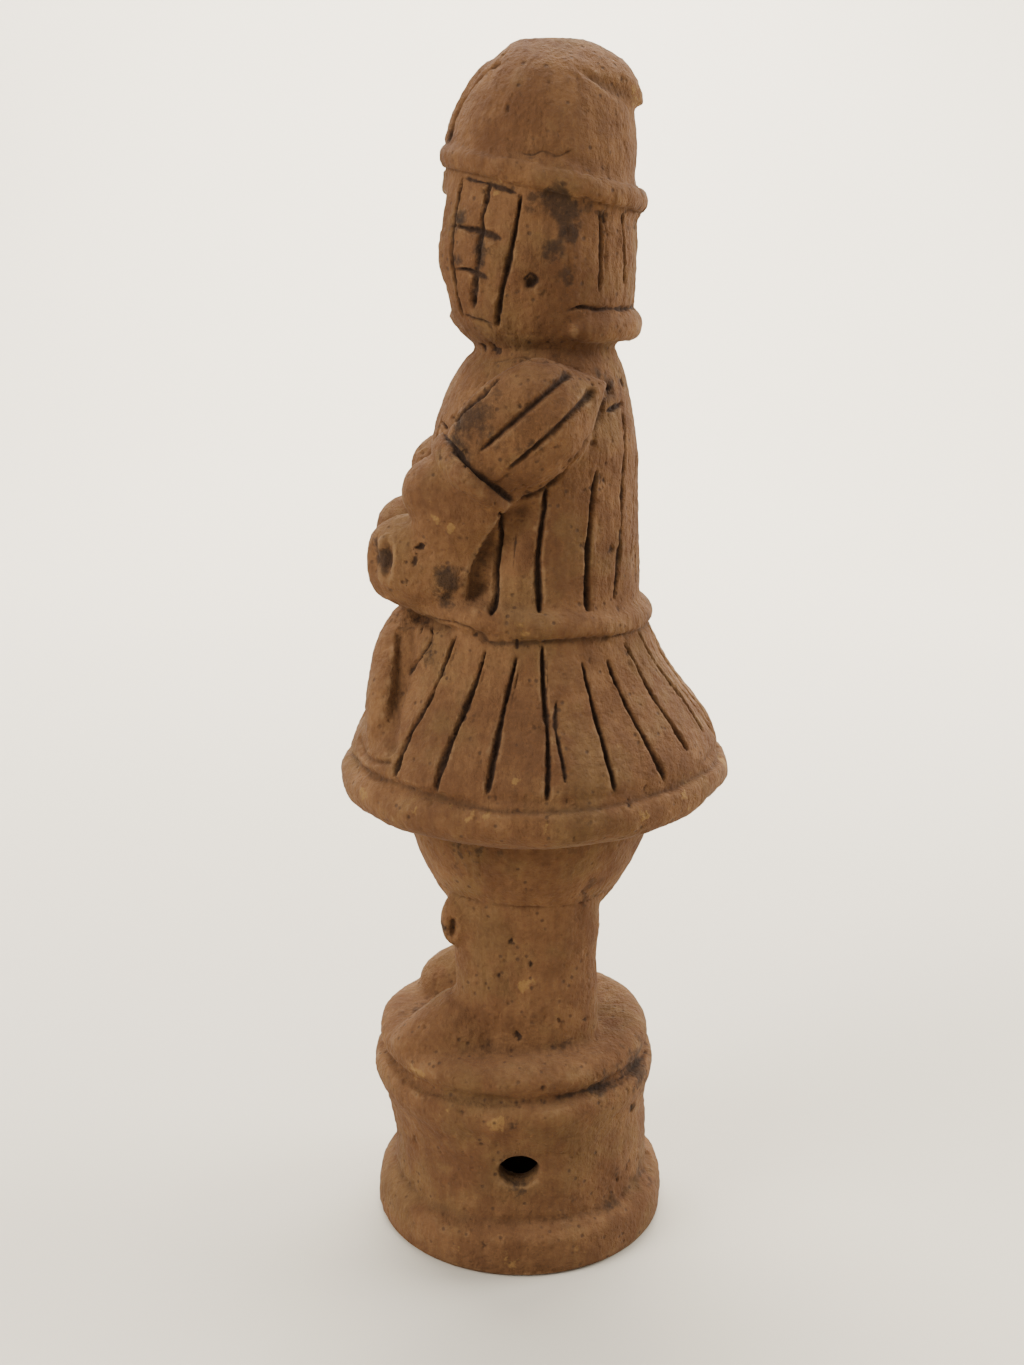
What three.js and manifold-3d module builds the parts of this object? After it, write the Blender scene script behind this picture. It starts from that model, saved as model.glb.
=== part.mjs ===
// A souvenir figure of an armoured clay warrior standing on a hollow drum, fired as one piece.
// Millimetres, +Z up. The warrior faces -Y, with the left side at +X, and the origin lies on
// the floor under the middle of the skirt, which is the widest form.
// The round forms are turned solids with a shifted axis, and their upright lines are creases
// of the turned form. Limbs are stretched spheres that follow a path. The lines of the guards
// and the head are thin four-sided tubes cut out of the clay.

import * as THREE from "three";
import { mergeVertices } from "three/addons/utils/BufferGeometryUtils.js";
import Module from "manifold-3d";

// Drum
const drum_flange_radius = 29.4;
const drum_flange_height = 9.5;
const drum_wall_radius = 26.1;
const drum_cordon_radius = 28.5;
const drum_cordon_height = 33.5;
const drum_groove_height = 37.2;
const drum_height = 43.2;
const drum_wall = 5.5;
const drum_roof = 7;
const drum_forward = 2.5;
const drum_lean = 1.4;
const drum_hole_radius = 3.4;
const drum_hole_height = 21.4;

// Heights of the figure's forms, each standing on the one before
const leg_height = 26.8;
const trouser_height = 18;
const hem_height = 8.4;
const skirt_height = 28.6;
const torso_height = 53;
const head_height = 27;
const helmet_height = 25;

// Radii of the figure's forms
const leg_half_width = 9;
const leg_half_depth = 14;
const leg_spacing = 9.6;
const leg_forward = 1.4;
const knot_half_width = 3.2;
const knot_half_depth = 2.4;
const knot_half_height = 4.8;
const trouser_radius = 24;
const skirt_radius = 37.9;
const waist_radius = 21.6;
const belt_radius = 24.2;
const belt_roll = 3;
const belt_forward = 1.6;
const chest_radius = 18.8;
const neck_radius = 12.4;
const head_radius = 17.3;
const helmet_rim_radius = 18.9;
const helmet_rim_roll = 2.7;
const helmet_plate_half_width = 11;
const helmet_plate_half_length = 15.6;
const helmet_plate_half_height = 10.8;

// Arms, shoulder guards and sword
const arm_half_width = 8.6;
const arm_half_depth = 6.4;
const hand_half_width = 9.4;
const hand_reach = 31;
const guard_half_width = 10.6;
const guard_half_depth = 6.2;
const guard_roll_half_width = 3.1;
const sword_half_width = 5;
const sword_half_depth = 4.2;
const foot_length = 22;
const foot_half_width = 9;

// Tilts in degrees: the belt is higher at the front, the rim and the plate are lower at the back
const belt_tilt = 6;
const helmet_rim_tilt = 13.4;
const helmet_plate_tilt = 23;

// Carved lines
const line_half_width = 0.8;
const line_depth = 1.1;
const skirt_rise = 0.022;
const skirt_line_count = 21;
const torso_line_count = 16;
const face_half_width = 6;
const face_recess = 2.6;
const keel_width = 4;
const keel_height = 0.8;
const neck_roll_radius = 2.6;
const eye_width = 3;
const eye_spacing = 3.1;
const mouth_width = 5;
const slit_height = 1.2;

// Number of flats round the forms and along them
const drum_sides = 32;
const skirt_steps = 9;
const torso_steps = 5;
const body_sides = 20;
const limb_sides = 10;
const limb_rings = 7;
const limb_roundness = 0.4;
const blunt_roundness = 0.3;
const clay_colour = 0x9a5a34;

const wasm = await Module();
wasm.setup();

// Levels that follow from the heights
const knee_level = drum_height + leg_height;
const hem_level = knee_level + trouser_height;
const rim_level = hem_level + hem_height;
const waist_level = rim_level + skirt_height;
const neck_level = waist_level + torso_height;
const brow_level = neck_level + head_height;
const crown_level = brow_level + helmet_height;

// A closed three.js geometry as a solid that can be joined and cut.
function solid(geometry) {
  const bare = geometry.clone();
  bare.deleteAttribute("normal");
  bare.deleteAttribute("uv");
  const merged = mergeVertices(bare, 1e-4);
  const corners = merged.index.array;
  const kept = [];
  for (let i = 0; i < corners.length; i += 3) {
    const [a, b, c] = corners.slice(i, i + 3);
    if (a !== b && b !== c && c !== a) kept.push(a, b, c);
  }
  return new wasm.Manifold(
    new wasm.Mesh({
      numProp: 3,
      vertProperties: merged.attributes.position.array,
      triVerts: new Uint32Array(kept),
    }),
  );
}

// Moves every corner of a geometry by a function of its place.
function reshaped(geometry, place) {
  const position = geometry.attributes.position;
  const point = new THREE.Vector3();
  for (let i = 0; i < position.count; i += 1) {
    point.fromBufferAttribute(position, i);
    place(point);
    position.setXYZ(i, point.x, point.y, point.z);
  }
  return geometry;
}

// A solid turned round the Z axis from [radius, height] pairs, bottom first.
function turned(pairs, sides) {
  const outline = pairs.map(([radius, height]) => new THREE.Vector2(radius, height));
  return new THREE.LatheGeometry(outline, sides).rotateX(Math.PI / 2);
}

// A body form through [height, radius, shift along Y] stations, with a smooth outline.
// Angles are in degrees from the front towards the left side.
class BodyForm {
  constructor(stations, width_ratio, rise = 0) {
    const points = stations.map(([height, radius, shift]) => new THREE.Vector3(radius, shift, height));
    this.curve = new THREE.CatmullRomCurve3(points, false, "centripetal");
    this.width_ratio = width_ratio;
    this.rise = rise;
  }
  // The radius (x), shift (y) and height (z) of the outline at a height.
  station(height) {
    let low = 0;
    let high = 1;
    for (let step = 0; step < 24; step += 1) {
      const middle = (low + high) / 2;
      if (this.curve.getPoint(middle).z < height) low = middle;
      else high = middle;
    }
    return this.curve.getPoint(low);
  }
  // The point of the surface at an angle and a height, moved out by lift.
  at(angle, height, lift = 0) {
    const turn = THREE.MathUtils.degToRad(angle);
    const outline = this.station(height);
    const radius = outline.x + lift;
    return new THREE.Vector3(
      radius * this.width_ratio * Math.sin(turn),
      outline.y - radius * Math.cos(turn),
      height,
    );
  }
  // The form as a solid. Its creases are upright carved lines: three flats of the turned
  // form belong to each, and the middle corner goes in by the depth at that height.
  solid(sides, steps, creases = null) {
    const outline = this.curve.getPoints(steps);
    const pairs = outline.map((point) => [point.x, point.z]);
    const first = outline[0];
    const last = outline[outline.length - 1];
    const geometry = turned([[0, first.z], ...pairs, [0, last.z]], creases ? 3 * creases.count : sides);
    return solid(
      reshaped(geometry, (point) => {
        if (creases) creased(point, creases);
        point.x *= this.width_ratio;
        point.y += this.station(point.z).y;
        point.z += this.rise * point.y;
      }),
    );
  }
}

// Draws the three corners that share a crease together, and sinks the middle one.
function creased(point, { count, start, depth, half_width }) {
  const radius = Math.hypot(point.x, point.y);
  if (radius < 1e-6) return;
  const corner = Math.round((Math.atan2(point.x, -point.y) * 3 * count) / (2 * Math.PI));
  const crease = Math.round(corner / 3);
  const side = corner - 3 * crease;
  const sunk = depth(point.z, crease);
  const spread = sunk > 0 ? half_width / radius : (2 * Math.PI) / (3 * count);
  const angle = THREE.MathUtils.degToRad(start) + (crease * 2 * Math.PI) / count + side * spread;
  const reach = side === 0 ? radius - sunk : radius;
  point.x = reach * Math.sin(angle);
  point.y = -reach * Math.cos(angle);
}

// The share of a limb's width that is closed to a point at its ends.
const pole_size = 1e-9;

// A stretched sphere that follows a path, with half widths and half depths along it.
// Depths lie along X, and widths lie square to the path. A smaller roundness gives blunter ends.
function limb(
  path_points,
  half_widths,
  half_depths,
  { sides = limb_sides, rings = limb_rings, roundness = limb_roundness } = {},
) {
  const path = new THREE.CatmullRomCurve3(path_points, false, "centripetal");
  const share = (values, t) => {
    const place = t * (values.length - 1);
    const index = Math.min(Math.floor(place), values.length - 2);
    return THREE.MathUtils.lerp(values[index], values[index + 1], place - index);
  };
  const sphere = new THREE.SphereGeometry(1, sides, rings);
  return solid(
    reshaped(sphere, (point) => {
      const t = Math.acos(THREE.MathUtils.clamp(point.y, -1, 1)) / Math.PI;
      const round_off = Math.max(Math.sin(Math.PI * t) - pole_size, 0) ** roundness;
      const turn = Math.atan2(point.z, point.x);
      const along = path.getTangent(t);
      const depth = new THREE.Vector3(1, 0, 0).addScaledVector(along, -along.x).normalize();
      const width = new THREE.Vector3().crossVectors(along, depth);
      point.copy(path.getPoint(t));
      point.addScaledVector(depth, share(half_depths, t) * round_off * Math.cos(turn));
      point.addScaledVector(width, share(half_widths, t) * round_off * Math.sin(turn));
    }),
  );
}

// A thin tube with four sides along points on a surface, to be cut out as a carved line.
function line(points, steps = 4, half_width = line_half_width) {
  const section = new THREE.Shape();
  section.absarc(0, 0, half_width, 0, 2 * Math.PI);
  const path = new THREE.CatmullRomCurve3(points, false, "centripetal");
  return solid(
    new THREE.ExtrudeGeometry(section, { steps, curveSegments: 2, bevelEnabled: false, extrudePath: path }),
  );
}

function ball(x, y, z, half_x, half_y, half_z, sides = limb_sides, rings = limb_rings) {
  return solid(new THREE.SphereGeometry(1, sides, rings).scale(half_x, half_y, half_z).translate(x, y, z));
}

function box(x, y, z, size_x, size_y, size_z) {
  return solid(new THREE.BoxGeometry(size_x, size_y, size_z).translate(x, y, z));
}

// The left form (side 1) and its match on the right (side -1), joined.
function both_sides(form) {
  return form(1).add(form(-1));
}

// The drum's outer body, from the flange up to the round top edge, leaning a little forward.
function drum_body() {
  const edge = 1.8;
  const pairs = [
    [0, 0],
    [drum_flange_radius - 0.6, 0],
    [drum_flange_radius, edge],
    [drum_flange_radius - 0.2, drum_flange_height - edge],
    [drum_flange_radius - 1.4, drum_flange_height],
    [drum_wall_radius, drum_flange_height + 2.2],
    [drum_wall_radius, drum_cordon_height - 9],
    [drum_cordon_radius - 0.6, drum_cordon_height - 3],
    [drum_cordon_radius, drum_cordon_height],
    [drum_cordon_radius - 0.6, drum_groove_height - 1.8],
    [drum_cordon_radius - 3, drum_groove_height],
    [drum_cordon_radius - 1.4, drum_groove_height + 2],
    [drum_cordon_radius - 1.5, drum_height - edge],
    [drum_cordon_radius - 3.6, drum_height - 0.2],
    [0, drum_height],
  ];
  return solid(
    reshaped(turned(pairs, drum_sides), (point) => {
      point.y -= drum_forward + drum_lean * THREE.MathUtils.smoothstep(point.z, 0.4 * drum_height, 0.75 * drum_height);
    }),
  );
}

// The open hollow of the drum, and the round hole through the wall on each side.
function drum_hollow() {
  const radius = drum_wall_radius - drum_wall;
  const top = drum_height - drum_roof;
  const pairs = [
    [0, -1],
    [radius, -1],
    [radius, top - 4],
    [radius - 4, top],
    [0, top],
  ];
  const hollow = turned(pairs, drum_sides / 2).translate(0, -drum_forward, 0);
  const bore = new THREE.CylinderGeometry(drum_hole_radius, drum_hole_radius, 2 * drum_flange_radius + 4, 12);
  bore.rotateZ(Math.PI / 2).translate(0, -drum_forward, drum_hole_height);
  return solid(hollow).add(solid(bore));
}

// One leg with its foot and the knot of the trouser tie.
function leg(side) {
  const centre = side * leg_spacing;
  const overlap = 4;
  const column = reshaped(
    turned([[0, -2], [1.02, -2], [1, leg_height / 2], [1.03, leg_height + overlap], [0, leg_height + overlap]], 12),
    (point) => {
      point.x = point.x * leg_half_width + centre;
      point.y = point.y * leg_half_depth - leg_forward;
      point.z += drum_height;
    },
  );
  const heel = -4;
  const foot = limb(
    [
      new THREE.Vector3(centre, heel, drum_height + 1),
      new THREE.Vector3(centre + side * 1.6, heel - foot_length / 2, drum_height + 0.6),
      new THREE.Vector3(centre + side * 2.2, heel - foot_length, drum_height - 0.4),
    ],
    [foot_half_width, foot_half_width, foot_half_width - 2],
    [foot_half_width - 0.4, foot_half_width, foot_half_width - 1],
    { roundness: blunt_roundness },
  );
  const foot_floor = box(0, heel - foot_length / 2, drum_height - 8, 60, 60, 12);
  const front = -leg_half_depth - leg_forward;
  const knot_level = knee_level - 0.4 * knot_half_height;
  const knot = ball(
    centre + side * 2.5, front + 0.2, knot_level, knot_half_width, knot_half_depth, knot_half_height, 8, 6,
  );
  const knot_slot = box(centre + side * 5.6, front, knot_level - 0.3, 3, 1, 4);
  return solid(column).add(foot.subtract(foot_floor)).add(knot.subtract(knot_slot));
}

const trousers = new BodyForm(
  [
    [knee_level - 2.5, leg_half_depth + 0.4, -1.3],
    [knee_level + 0.5, leg_half_depth + 1.8, -1.3],
    [knee_level + 4, trouser_radius - 5.4, -1.2],
    [hem_level - 7, trouser_radius - 1.6, -1],
    [hem_level + 1.5, trouser_radius + 0.6, -0.8],
  ],
  1,
);

const skirt = new BodyForm(
  [
    [hem_level, trouser_radius + 1.5, -0.6],
    [rim_level - 4.2, skirt_radius - 3.6, 0],
    [rim_level - 3.4, skirt_radius - 1.4, 0],
    [rim_level - 0.2, skirt_radius, 0],
    [rim_level + 2.4, skirt_radius - 0.7, 0],
    [rim_level + 3.6, skirt_radius - 2.3, 0],
    [rim_level + 4.8, skirt_radius - 1.9, 0],
    [rim_level + 8.4, skirt_radius - 3.6, 0],
    [rim_level + skirt_height * 0.45, THREE.MathUtils.lerp(waist_radius, skirt_radius, 0.62), -0.1],
    [rim_level + skirt_height * 0.75, THREE.MathUtils.lerp(waist_radius, skirt_radius, 0.26), -0.5],
    [waist_level - 1, waist_radius + 2, -0.9],
    [waist_level + 2, waist_radius - 0.6, -1],
  ],
  1,
  skirt_rise,
);

const torso = new BodyForm(
  [
    [waist_level, waist_radius, -1],
    [waist_level + torso_height * 0.12, waist_radius - 1, -0.6],
    [waist_level + torso_height * 0.45, chest_radius + 0.5, -0.2],
    [waist_level + torso_height * 0.68, chest_radius, 0],
    [waist_level + torso_height * 0.8, chest_radius - 1.6, 0.3],
    [waist_level + torso_height * 0.92, neck_radius + 2.4, 1.1],
    [neck_level, neck_radius, 1.9],
    [neck_level + 3, neck_radius, 1.9],
  ],
  1.04,
);

const head = new BodyForm(
  [
    [neck_level - 0.4, neck_radius - 0.6, 1.5],
    [neck_level + 1.8, head_radius - 2.8, 1.2],
    [neck_level + head_height * 0.16, head_radius - 1.2, 0.8],
    [neck_level + head_height * 0.32, head_radius - 0.2, 0.5],
    [neck_level + head_height * 0.55, head_radius + 0.7, -0.2],
    [neck_level + head_height * 0.85, head_radius + 0.3, 0.2],
    [brow_level + 4, head_radius - 0.5, 0.7],
  ],
  1,
);

const helmet = new BodyForm(
  [
    [brow_level - 1.5, head_radius - 0.4, 1],
    [brow_level + helmet_height * 0.2, head_radius - 0.2, 0.9],
    [brow_level + helmet_height * 0.45, head_radius - 1.6, 1.8],
    [brow_level + helmet_height * 0.63, head_radius - 3.4, 2.4],
    [brow_level + helmet_height * 0.8, head_radius - 6.2, 2.6],
    [brow_level + helmet_height * 0.92, head_radius - 10.2, 2.1],
    [crown_level - 0.6, head_radius - 14, 1.5],
  ],
  1,
);

// The radiating pleats of the skirt, from the belt down to the groove above the rim.
const skirt_pleats = {
  count: skirt_line_count,
  start: 94,
  half_width: line_half_width,
  depth: (height) => (height > rim_level + 5 && height < waist_level - 1 ? line_depth : 0),
};

// The upright plates of the cuirass, from the belt up to the shoulders.
const torso_plates = {
  count: torso_line_count,
  start: 2.5,
  half_width: line_half_width,
  depth: (height) => (height > waist_level + 7 && height < waist_level + 0.72 * torso_height ? line_depth : 0),
};

// The belt roll, a little higher at the front.
function belt() {
  const roll = new THREE.TorusGeometry(belt_radius - belt_roll, belt_roll, 5, body_sides + 4);
  roll.scale(1, 1, 1.05).rotateX(THREE.MathUtils.degToRad(-belt_tilt));
  return solid(roll.translate(0, -belt_forward, waist_level + 4.4));
}

// One arm: sleeve, forearm and a closed hand with a hollow at its front.
function arm(side) {
  const reach = torso.at(90, neck_level - 12).x;
  const hand_level = waist_level + 13.8;
  const place = (out, y, z) => new THREE.Vector3(side * (reach + out), y, z);
  const upper = limb(
    [
      place(-2, -2, neck_level - 18),
      place(-1, -8, neck_level - 23),
      place(-1.6, -13.4, neck_level - 30),
      place(-3.3, -13, neck_level - 42),
    ],
    [arm_half_width, arm_half_width, arm_half_width + 1.6, arm_half_width],
    [arm_half_depth, arm_half_depth, arm_half_depth, arm_half_depth - 0.6],
  );
  const forearm = limb(
    [place(-3, -4, hand_level), place(-5, -18, hand_level), place(-8, -hand_reach, hand_level)],
    [hand_half_width - 1.4, hand_half_width - 0.6, hand_half_width],
    [arm_half_depth - 0.4, arm_half_depth + 0.4, arm_half_depth + 0.2],
    { roundness: blunt_roundness },
  );
  const sleeve_end = ball(side * (reach - 2.6), -16, hand_level + 13.4, 6.4, 7.6, 6.8, 8, 6);
  const hollow = ball(side * (reach - 8), -hand_reach, hand_level, 2.6, 3, 5.4, 8, 6);
  return upper.add(forearm).add(sleeve_end).subtract(hollow);
}

// One shoulder guard, a pointed oval dome with three carved lines and a rolled lower end.
function guard(side) {
  const reach = torso.at(90, neck_level - 12).x;
  const place = (out, y, z) => new THREE.Vector3(side * (reach + out), y, neck_level + z);
  const dome = limb(
    [place(-3.4, 12.6, -6.2), place(1.8, 1, -11.6), place(2.4, -14.6, -20.6)],
    [guard_half_width * 0.2, guard_half_width * 0.92, guard_half_width, guard_half_width * 1.04],
    [guard_half_depth * 0.8, guard_half_depth, guard_half_depth, guard_half_depth],
    { sides: 12 },
  );
  const roll = limb(
    [place(-2.8, -17.6, -15.4), place(2.8, -13, -20.8), place(2.2, -5.2, -28.4)],
    [guard_roll_half_width, guard_roll_half_width, guard_roll_half_width - 0.6],
    [guard_half_depth - 1.4, guard_half_depth + 0.2, guard_half_depth - 1.2],
    { sides: 8, rings: 6, roundness: blunt_roundness },
  );
  const surface = 2.2 + guard_half_depth;
  const groove = (from_y, from_z, to_y, to_z) =>
    line([place(surface - 1.8, from_y, from_z), place(surface, to_y, to_z)], 1, line_half_width * 1.2);
  return dome
    .subtract(groove(5, -5, -10.6, -17.4))
    .subtract(groove(9.6, -7.6, -6, -20.8))
    .subtract(groove(-5.6, -4.2, -15, -13))
    .add(roll);
}

// The sword that hangs from the belt under the left hand and lies on the skirt.
function sword() {
  return limb(
    [
      new THREE.Vector3(3, -22.8, waist_level + 5),
      new THREE.Vector3(5.6, -25.8, waist_level - 5),
      new THREE.Vector3(10, -30.8, rim_level + 7.4),
    ],
    [sword_half_depth, sword_half_depth, sword_half_depth],
    [sword_half_width * 0.8, sword_half_width, sword_half_width * 1.2],
  );
}

// The face between the cheek guards: nose, and slits for eyes and mouth.
function face() {
  const front = head.at(0, neck_level + head_height * 0.55).y;
  const middle = neck_level + head_height * 0.56;
  const height = head_height * 0.8;
  const recess = box(0, front, middle, 2 * face_half_width, 2 * face_recess, height);
  const floor = front + face_recess;
  const nose = ball(0, floor - 0.3, middle + 0.6, 1.5, 1.7, 3.4, 8, 6);
  const slit = (x, z, width) => box(x, floor, z, width, 1.6, slit_height);
  const mouth = slit(0, middle - 5.6, mouth_width);
  const eye = (side) => slit(side * eye_spacing, middle + 3.4, eye_width);
  return { recess, nose, slits: both_sides(eye).add(mouth) };
}

// The squares of lacing on one cheek guard.
function cheek_lines(side) {
  const top = brow_level - 2;
  const bottom = neck_level + 4.6;
  const upright = (top_angle, bottom_angle) =>
    line(
      [
        head.at(side * top_angle, top),
        head.at((side * (top_angle + bottom_angle)) / 2 + side * 2, (top + bottom) / 2),
        head.at(side * bottom_angle, bottom),
      ],
      2,
    );
  const level = (height, from_angle, to_angle) =>
    line(
      [
        head.at(side * from_angle, height + 1, 0.2),
        head.at(side * to_angle, height - 1, 0.2),
      ],
      1,
      line_half_width * 0.8,
    );
  return joined([
    upright(33, 22),
    upright(57, 42),
    upright(80, 58),
    level(brow_level - 3, 37, 76),
    level(neck_level + head_height * 0.7, 32, 70),
    level(neck_level + head_height * 0.45, 28, 62),
    level(neck_level + head_height * 0.2, 22, 56),
  ]);
}

// The neck guard: upright plates at the back of the head over a rolled edge.
function neck_guard_roll() {
  const points = [];
  for (let angle = 108; angle <= 252; angle += 16) points.push(head.at(angle, neck_level + 3.4, -0.1));
  const ends = [points[0], points[points.length - 1]].map(({ x, y, z }) => {
    const end_radius = neck_roll_radius - 0.4;
    return ball(x, y, z, end_radius, end_radius, end_radius, 6, 4);
  });
  return joined([line(points, 7, neck_roll_radius), ...ends]);
}

function neck_guard_lines(side) {
  const top = brow_level - 4;
  const bottom = neck_level + 8;
  const cuts = [110, 129, 153].map((angle) =>
    line([head.at(side * angle, top), head.at(side * (angle + 1), bottom)], 1),
  );
  const ledge = [108, 126, 144, 162, 180].map((angle) => head.at(side * angle, neck_level + 6.4));
  return joined([...cuts, line(ledge, 4, line_half_width * 0.7)]);
}

// The helmet's rolled rim, lower at the back.
function helmet_rim() {
  const rim = new THREE.TorusGeometry(helmet_rim_radius - helmet_rim_roll, helmet_rim_roll, 5, body_sides);
  rim.rotateX(THREE.MathUtils.degToRad(-helmet_rim_tilt));
  return solid(rim.translate(0, 1.6, brow_level + 1.4));
}

// The plate on top of the helmet, whose rear edge hangs over as a lip.
function helmet_plate() {
  const dome = ball(
    0,
    3.4,
    crown_level - helmet_plate_half_height + 0.2,
    helmet_plate_half_width,
    helmet_plate_half_length,
    helmet_plate_half_height,
    14,
    8,
  );
  const under = new THREE.BoxGeometry(60, 60, 40).translate(0, 0, -20);
  under.rotateX(THREE.MathUtils.degToRad(-helmet_plate_tilt)).translate(0, 7, crown_level - 6.4);
  return dome.subtract(solid(under));
}

// The keel down the front of the helmet.
function helmet_keel() {
  const inner = (height) => helmet.at(0, height).y + 2;
  const outer = (height) => helmet.at(0, height).y - keel_height;
  const top = crown_level - 2.6;
  const bottom = brow_level + 4;
  const shape = new THREE.Shape();
  const points = [];
  for (let step = 0; step <= 5; step += 1) {
    const height = THREE.MathUtils.lerp(bottom, top, step / 5);
    points.push(new THREE.Vector2(outer(height), height));
  }
  shape.setFromPoints([new THREE.Vector2(inner(bottom), bottom), ...points, new THREE.Vector2(inner(top), top)]);
  const plate = new THREE.ExtrudeGeometry(shape, { depth: keel_width, steps: 1, bevelEnabled: false });
  plate.translate(0, 0, -keel_width / 2);
  plate.applyMatrix4(new THREE.Matrix4().makeBasis(
    new THREE.Vector3(0, 1, 0),
    new THREE.Vector3(0, 0, 1),
    new THREE.Vector3(1, 0, 0),
  ));
  return solid(plate);
}

function joined(shapes) {
  return shapes.reduce((whole, shape) => whole.add(shape));
}

// The whole figure, joined, carved and hollowed.
function warrior() {
  const { recess, nose, slits } = face();
  const skull = head.solid(body_sides, 6)
    .subtract(recess)
    .add(nose)
    .subtract(slits)
    .subtract(both_sides(cheek_lines))
    .add(neck_guard_roll())
    .subtract(both_sides(neck_guard_lines));
  return joined([
    drum_body().subtract(drum_hollow()),
    both_sides(leg),
    trousers.solid(body_sides, 5),
    skirt.solid(body_sides, skirt_steps, skirt_pleats),
    torso.solid(body_sides, torso_steps, torso_plates),
    belt(),
    both_sides((side) => arm(side).add(guard(side))),
    sword(),
    skull,
    helmet.solid(body_sides, 6),
    helmet_rim(),
    helmet_plate(),
    helmet_keel(),
  ]);
}

function mesh_of(shape, name, material) {
  const found = shape.getMesh();
  const geometry = new THREE.BufferGeometry();
  geometry.setAttribute("position", new THREE.BufferAttribute(found.vertProperties, 3));
  geometry.setIndex(new THREE.BufferAttribute(found.triVerts, 1));
  geometry.computeVertexNormals();
  const mesh = new THREE.Mesh(geometry, material);
  mesh.name = name;
  return mesh;
}

const terracotta = new THREE.MeshStandardMaterial({ color: clay_colour, roughness: 0.92, metalness: 0 });
const haniwa = new THREE.Group();
haniwa.add(mesh_of(warrior(), "warrior_figure", terracotta));

export default haniwa;
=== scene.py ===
# %% [markdown]
# # A fired clay warrior on a drum
# The object is a souvenir figure of a warrior in plate armour, about 23 cm tall.
# It was modelled by hand in one lump of clay, carved with a stick while damp, and fired.
# The script follows the same order: rough forms first, then one skin over all of them,
# then the carved lines and the marks of handling, and last the colour of the clay.

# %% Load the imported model
import math
import bpy
import numpy as np
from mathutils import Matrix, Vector
from mathutils.kdtree import KDTree


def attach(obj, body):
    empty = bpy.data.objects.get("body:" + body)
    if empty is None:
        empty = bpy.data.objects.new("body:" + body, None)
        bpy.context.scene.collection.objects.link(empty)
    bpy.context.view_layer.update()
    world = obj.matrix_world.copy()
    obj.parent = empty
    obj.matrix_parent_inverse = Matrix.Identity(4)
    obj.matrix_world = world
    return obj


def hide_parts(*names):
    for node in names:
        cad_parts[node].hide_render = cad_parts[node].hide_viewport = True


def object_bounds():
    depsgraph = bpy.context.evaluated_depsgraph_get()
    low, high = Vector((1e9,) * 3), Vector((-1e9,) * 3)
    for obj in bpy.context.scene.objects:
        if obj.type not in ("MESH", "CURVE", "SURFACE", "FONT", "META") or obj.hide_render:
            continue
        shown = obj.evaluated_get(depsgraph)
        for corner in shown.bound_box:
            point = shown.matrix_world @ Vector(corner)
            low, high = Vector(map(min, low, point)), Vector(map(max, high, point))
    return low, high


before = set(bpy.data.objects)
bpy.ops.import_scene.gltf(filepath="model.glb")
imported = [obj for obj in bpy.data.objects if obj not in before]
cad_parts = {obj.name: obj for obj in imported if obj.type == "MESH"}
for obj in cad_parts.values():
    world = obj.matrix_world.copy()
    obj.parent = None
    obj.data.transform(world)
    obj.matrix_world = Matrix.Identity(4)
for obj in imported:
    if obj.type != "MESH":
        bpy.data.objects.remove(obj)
solid_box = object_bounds()
mm = 0.001
print("solid box", [list(corner) for corner in solid_box])

# %% [markdown]
# ## The camera
# The figure is seen from its left side and a little from above, as a small thing on a table.
# Blender's sensor is 36 mm on the long side of the image, so the lens sets how tall the
# figure stands in it. The camera comes first, so that every later step can be judged.

# %% Place the camera
looking_down = 15.57
camera_data = bpy.data.cameras.new("view_camera")
camera_data.lens = 44.84
camera_data.sensor_fit = "AUTO"
camera = bpy.data.objects.new("view_camera", camera_data)
camera.location = (0.318, -0.00425, 0.2013)
camera.rotation_euler = (math.radians(90 - looking_down), 0, math.radians(90))
bpy.context.scene.collection.objects.link(camera)
bpy.context.scene.camera = camera
print("camera height in mm", round(camera.location.z / mm))

# %% [markdown]
# ## A smooth outline through a few stations
# A potter feels an outline through a few places: foot, shoulder, rim. The helper below
# does that with numbers. It draws a smooth curve through the given stations, and spaces
# its knots by the square root of the distance, so that short steps between two stations
# don't make the curve swing out.

# %% Smooth outlines
def smooth_path(stations, steps):
    """Points on a smooth curve through the stations, with that many steps between two."""
    given = np.array(stations, float)
    ends = 2 * given[[0, -1]] - given[[1, -2]]
    points = np.vstack([ends[:1], given, ends[1:]])
    gaps = np.sqrt(np.linalg.norm(np.diff(points, axis=0), axis=1))
    knots = np.concatenate([[0], np.cumsum(gaps)])
    found = []
    for first in range(len(given) - 1):
        k = knots[first:first + 4]
        p = points[first:first + 4]
        for t in np.linspace(k[1], k[2], steps, endpoint=False):
            low = [((k[i + 1] - t) * p[i] + (t - k[i]) * p[i + 1]) / (k[i + 1] - k[i]) for i in range(3)]
            mid = [((k[i + 2] - t) * low[i] + (t - k[i]) * low[i + 1]) / (k[i + 2] - k[i]) for i in range(2)]
            found.append(((k[2] - t) * mid[0] + (t - k[1]) * mid[1]) / (k[2] - k[1]))
    found.append(given[-1])
    return np.array(found)

print("points on a test outline", len(smooth_path([[0, 1], [2, 3], [5, 4]], 4)))

# %% [markdown]
# ## Round forms
# Drum, skirt, body, head and helmet are round, but leaned and shifted by hand. A lathe
# or a spin would keep them on one axis. So each starts as a disc that is extruded
# upwards ring by ring, and each new ring is moved and resized to its own station.

# %% Helpers for round forms
clay_forms = []

def select_only(form):
    """Makes one form the only selected one, and the active one."""
    bpy.ops.object.select_all(action="DESELECT")
    form.select_set(True)
    bpy.context.view_layer.objects.active = form

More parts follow.
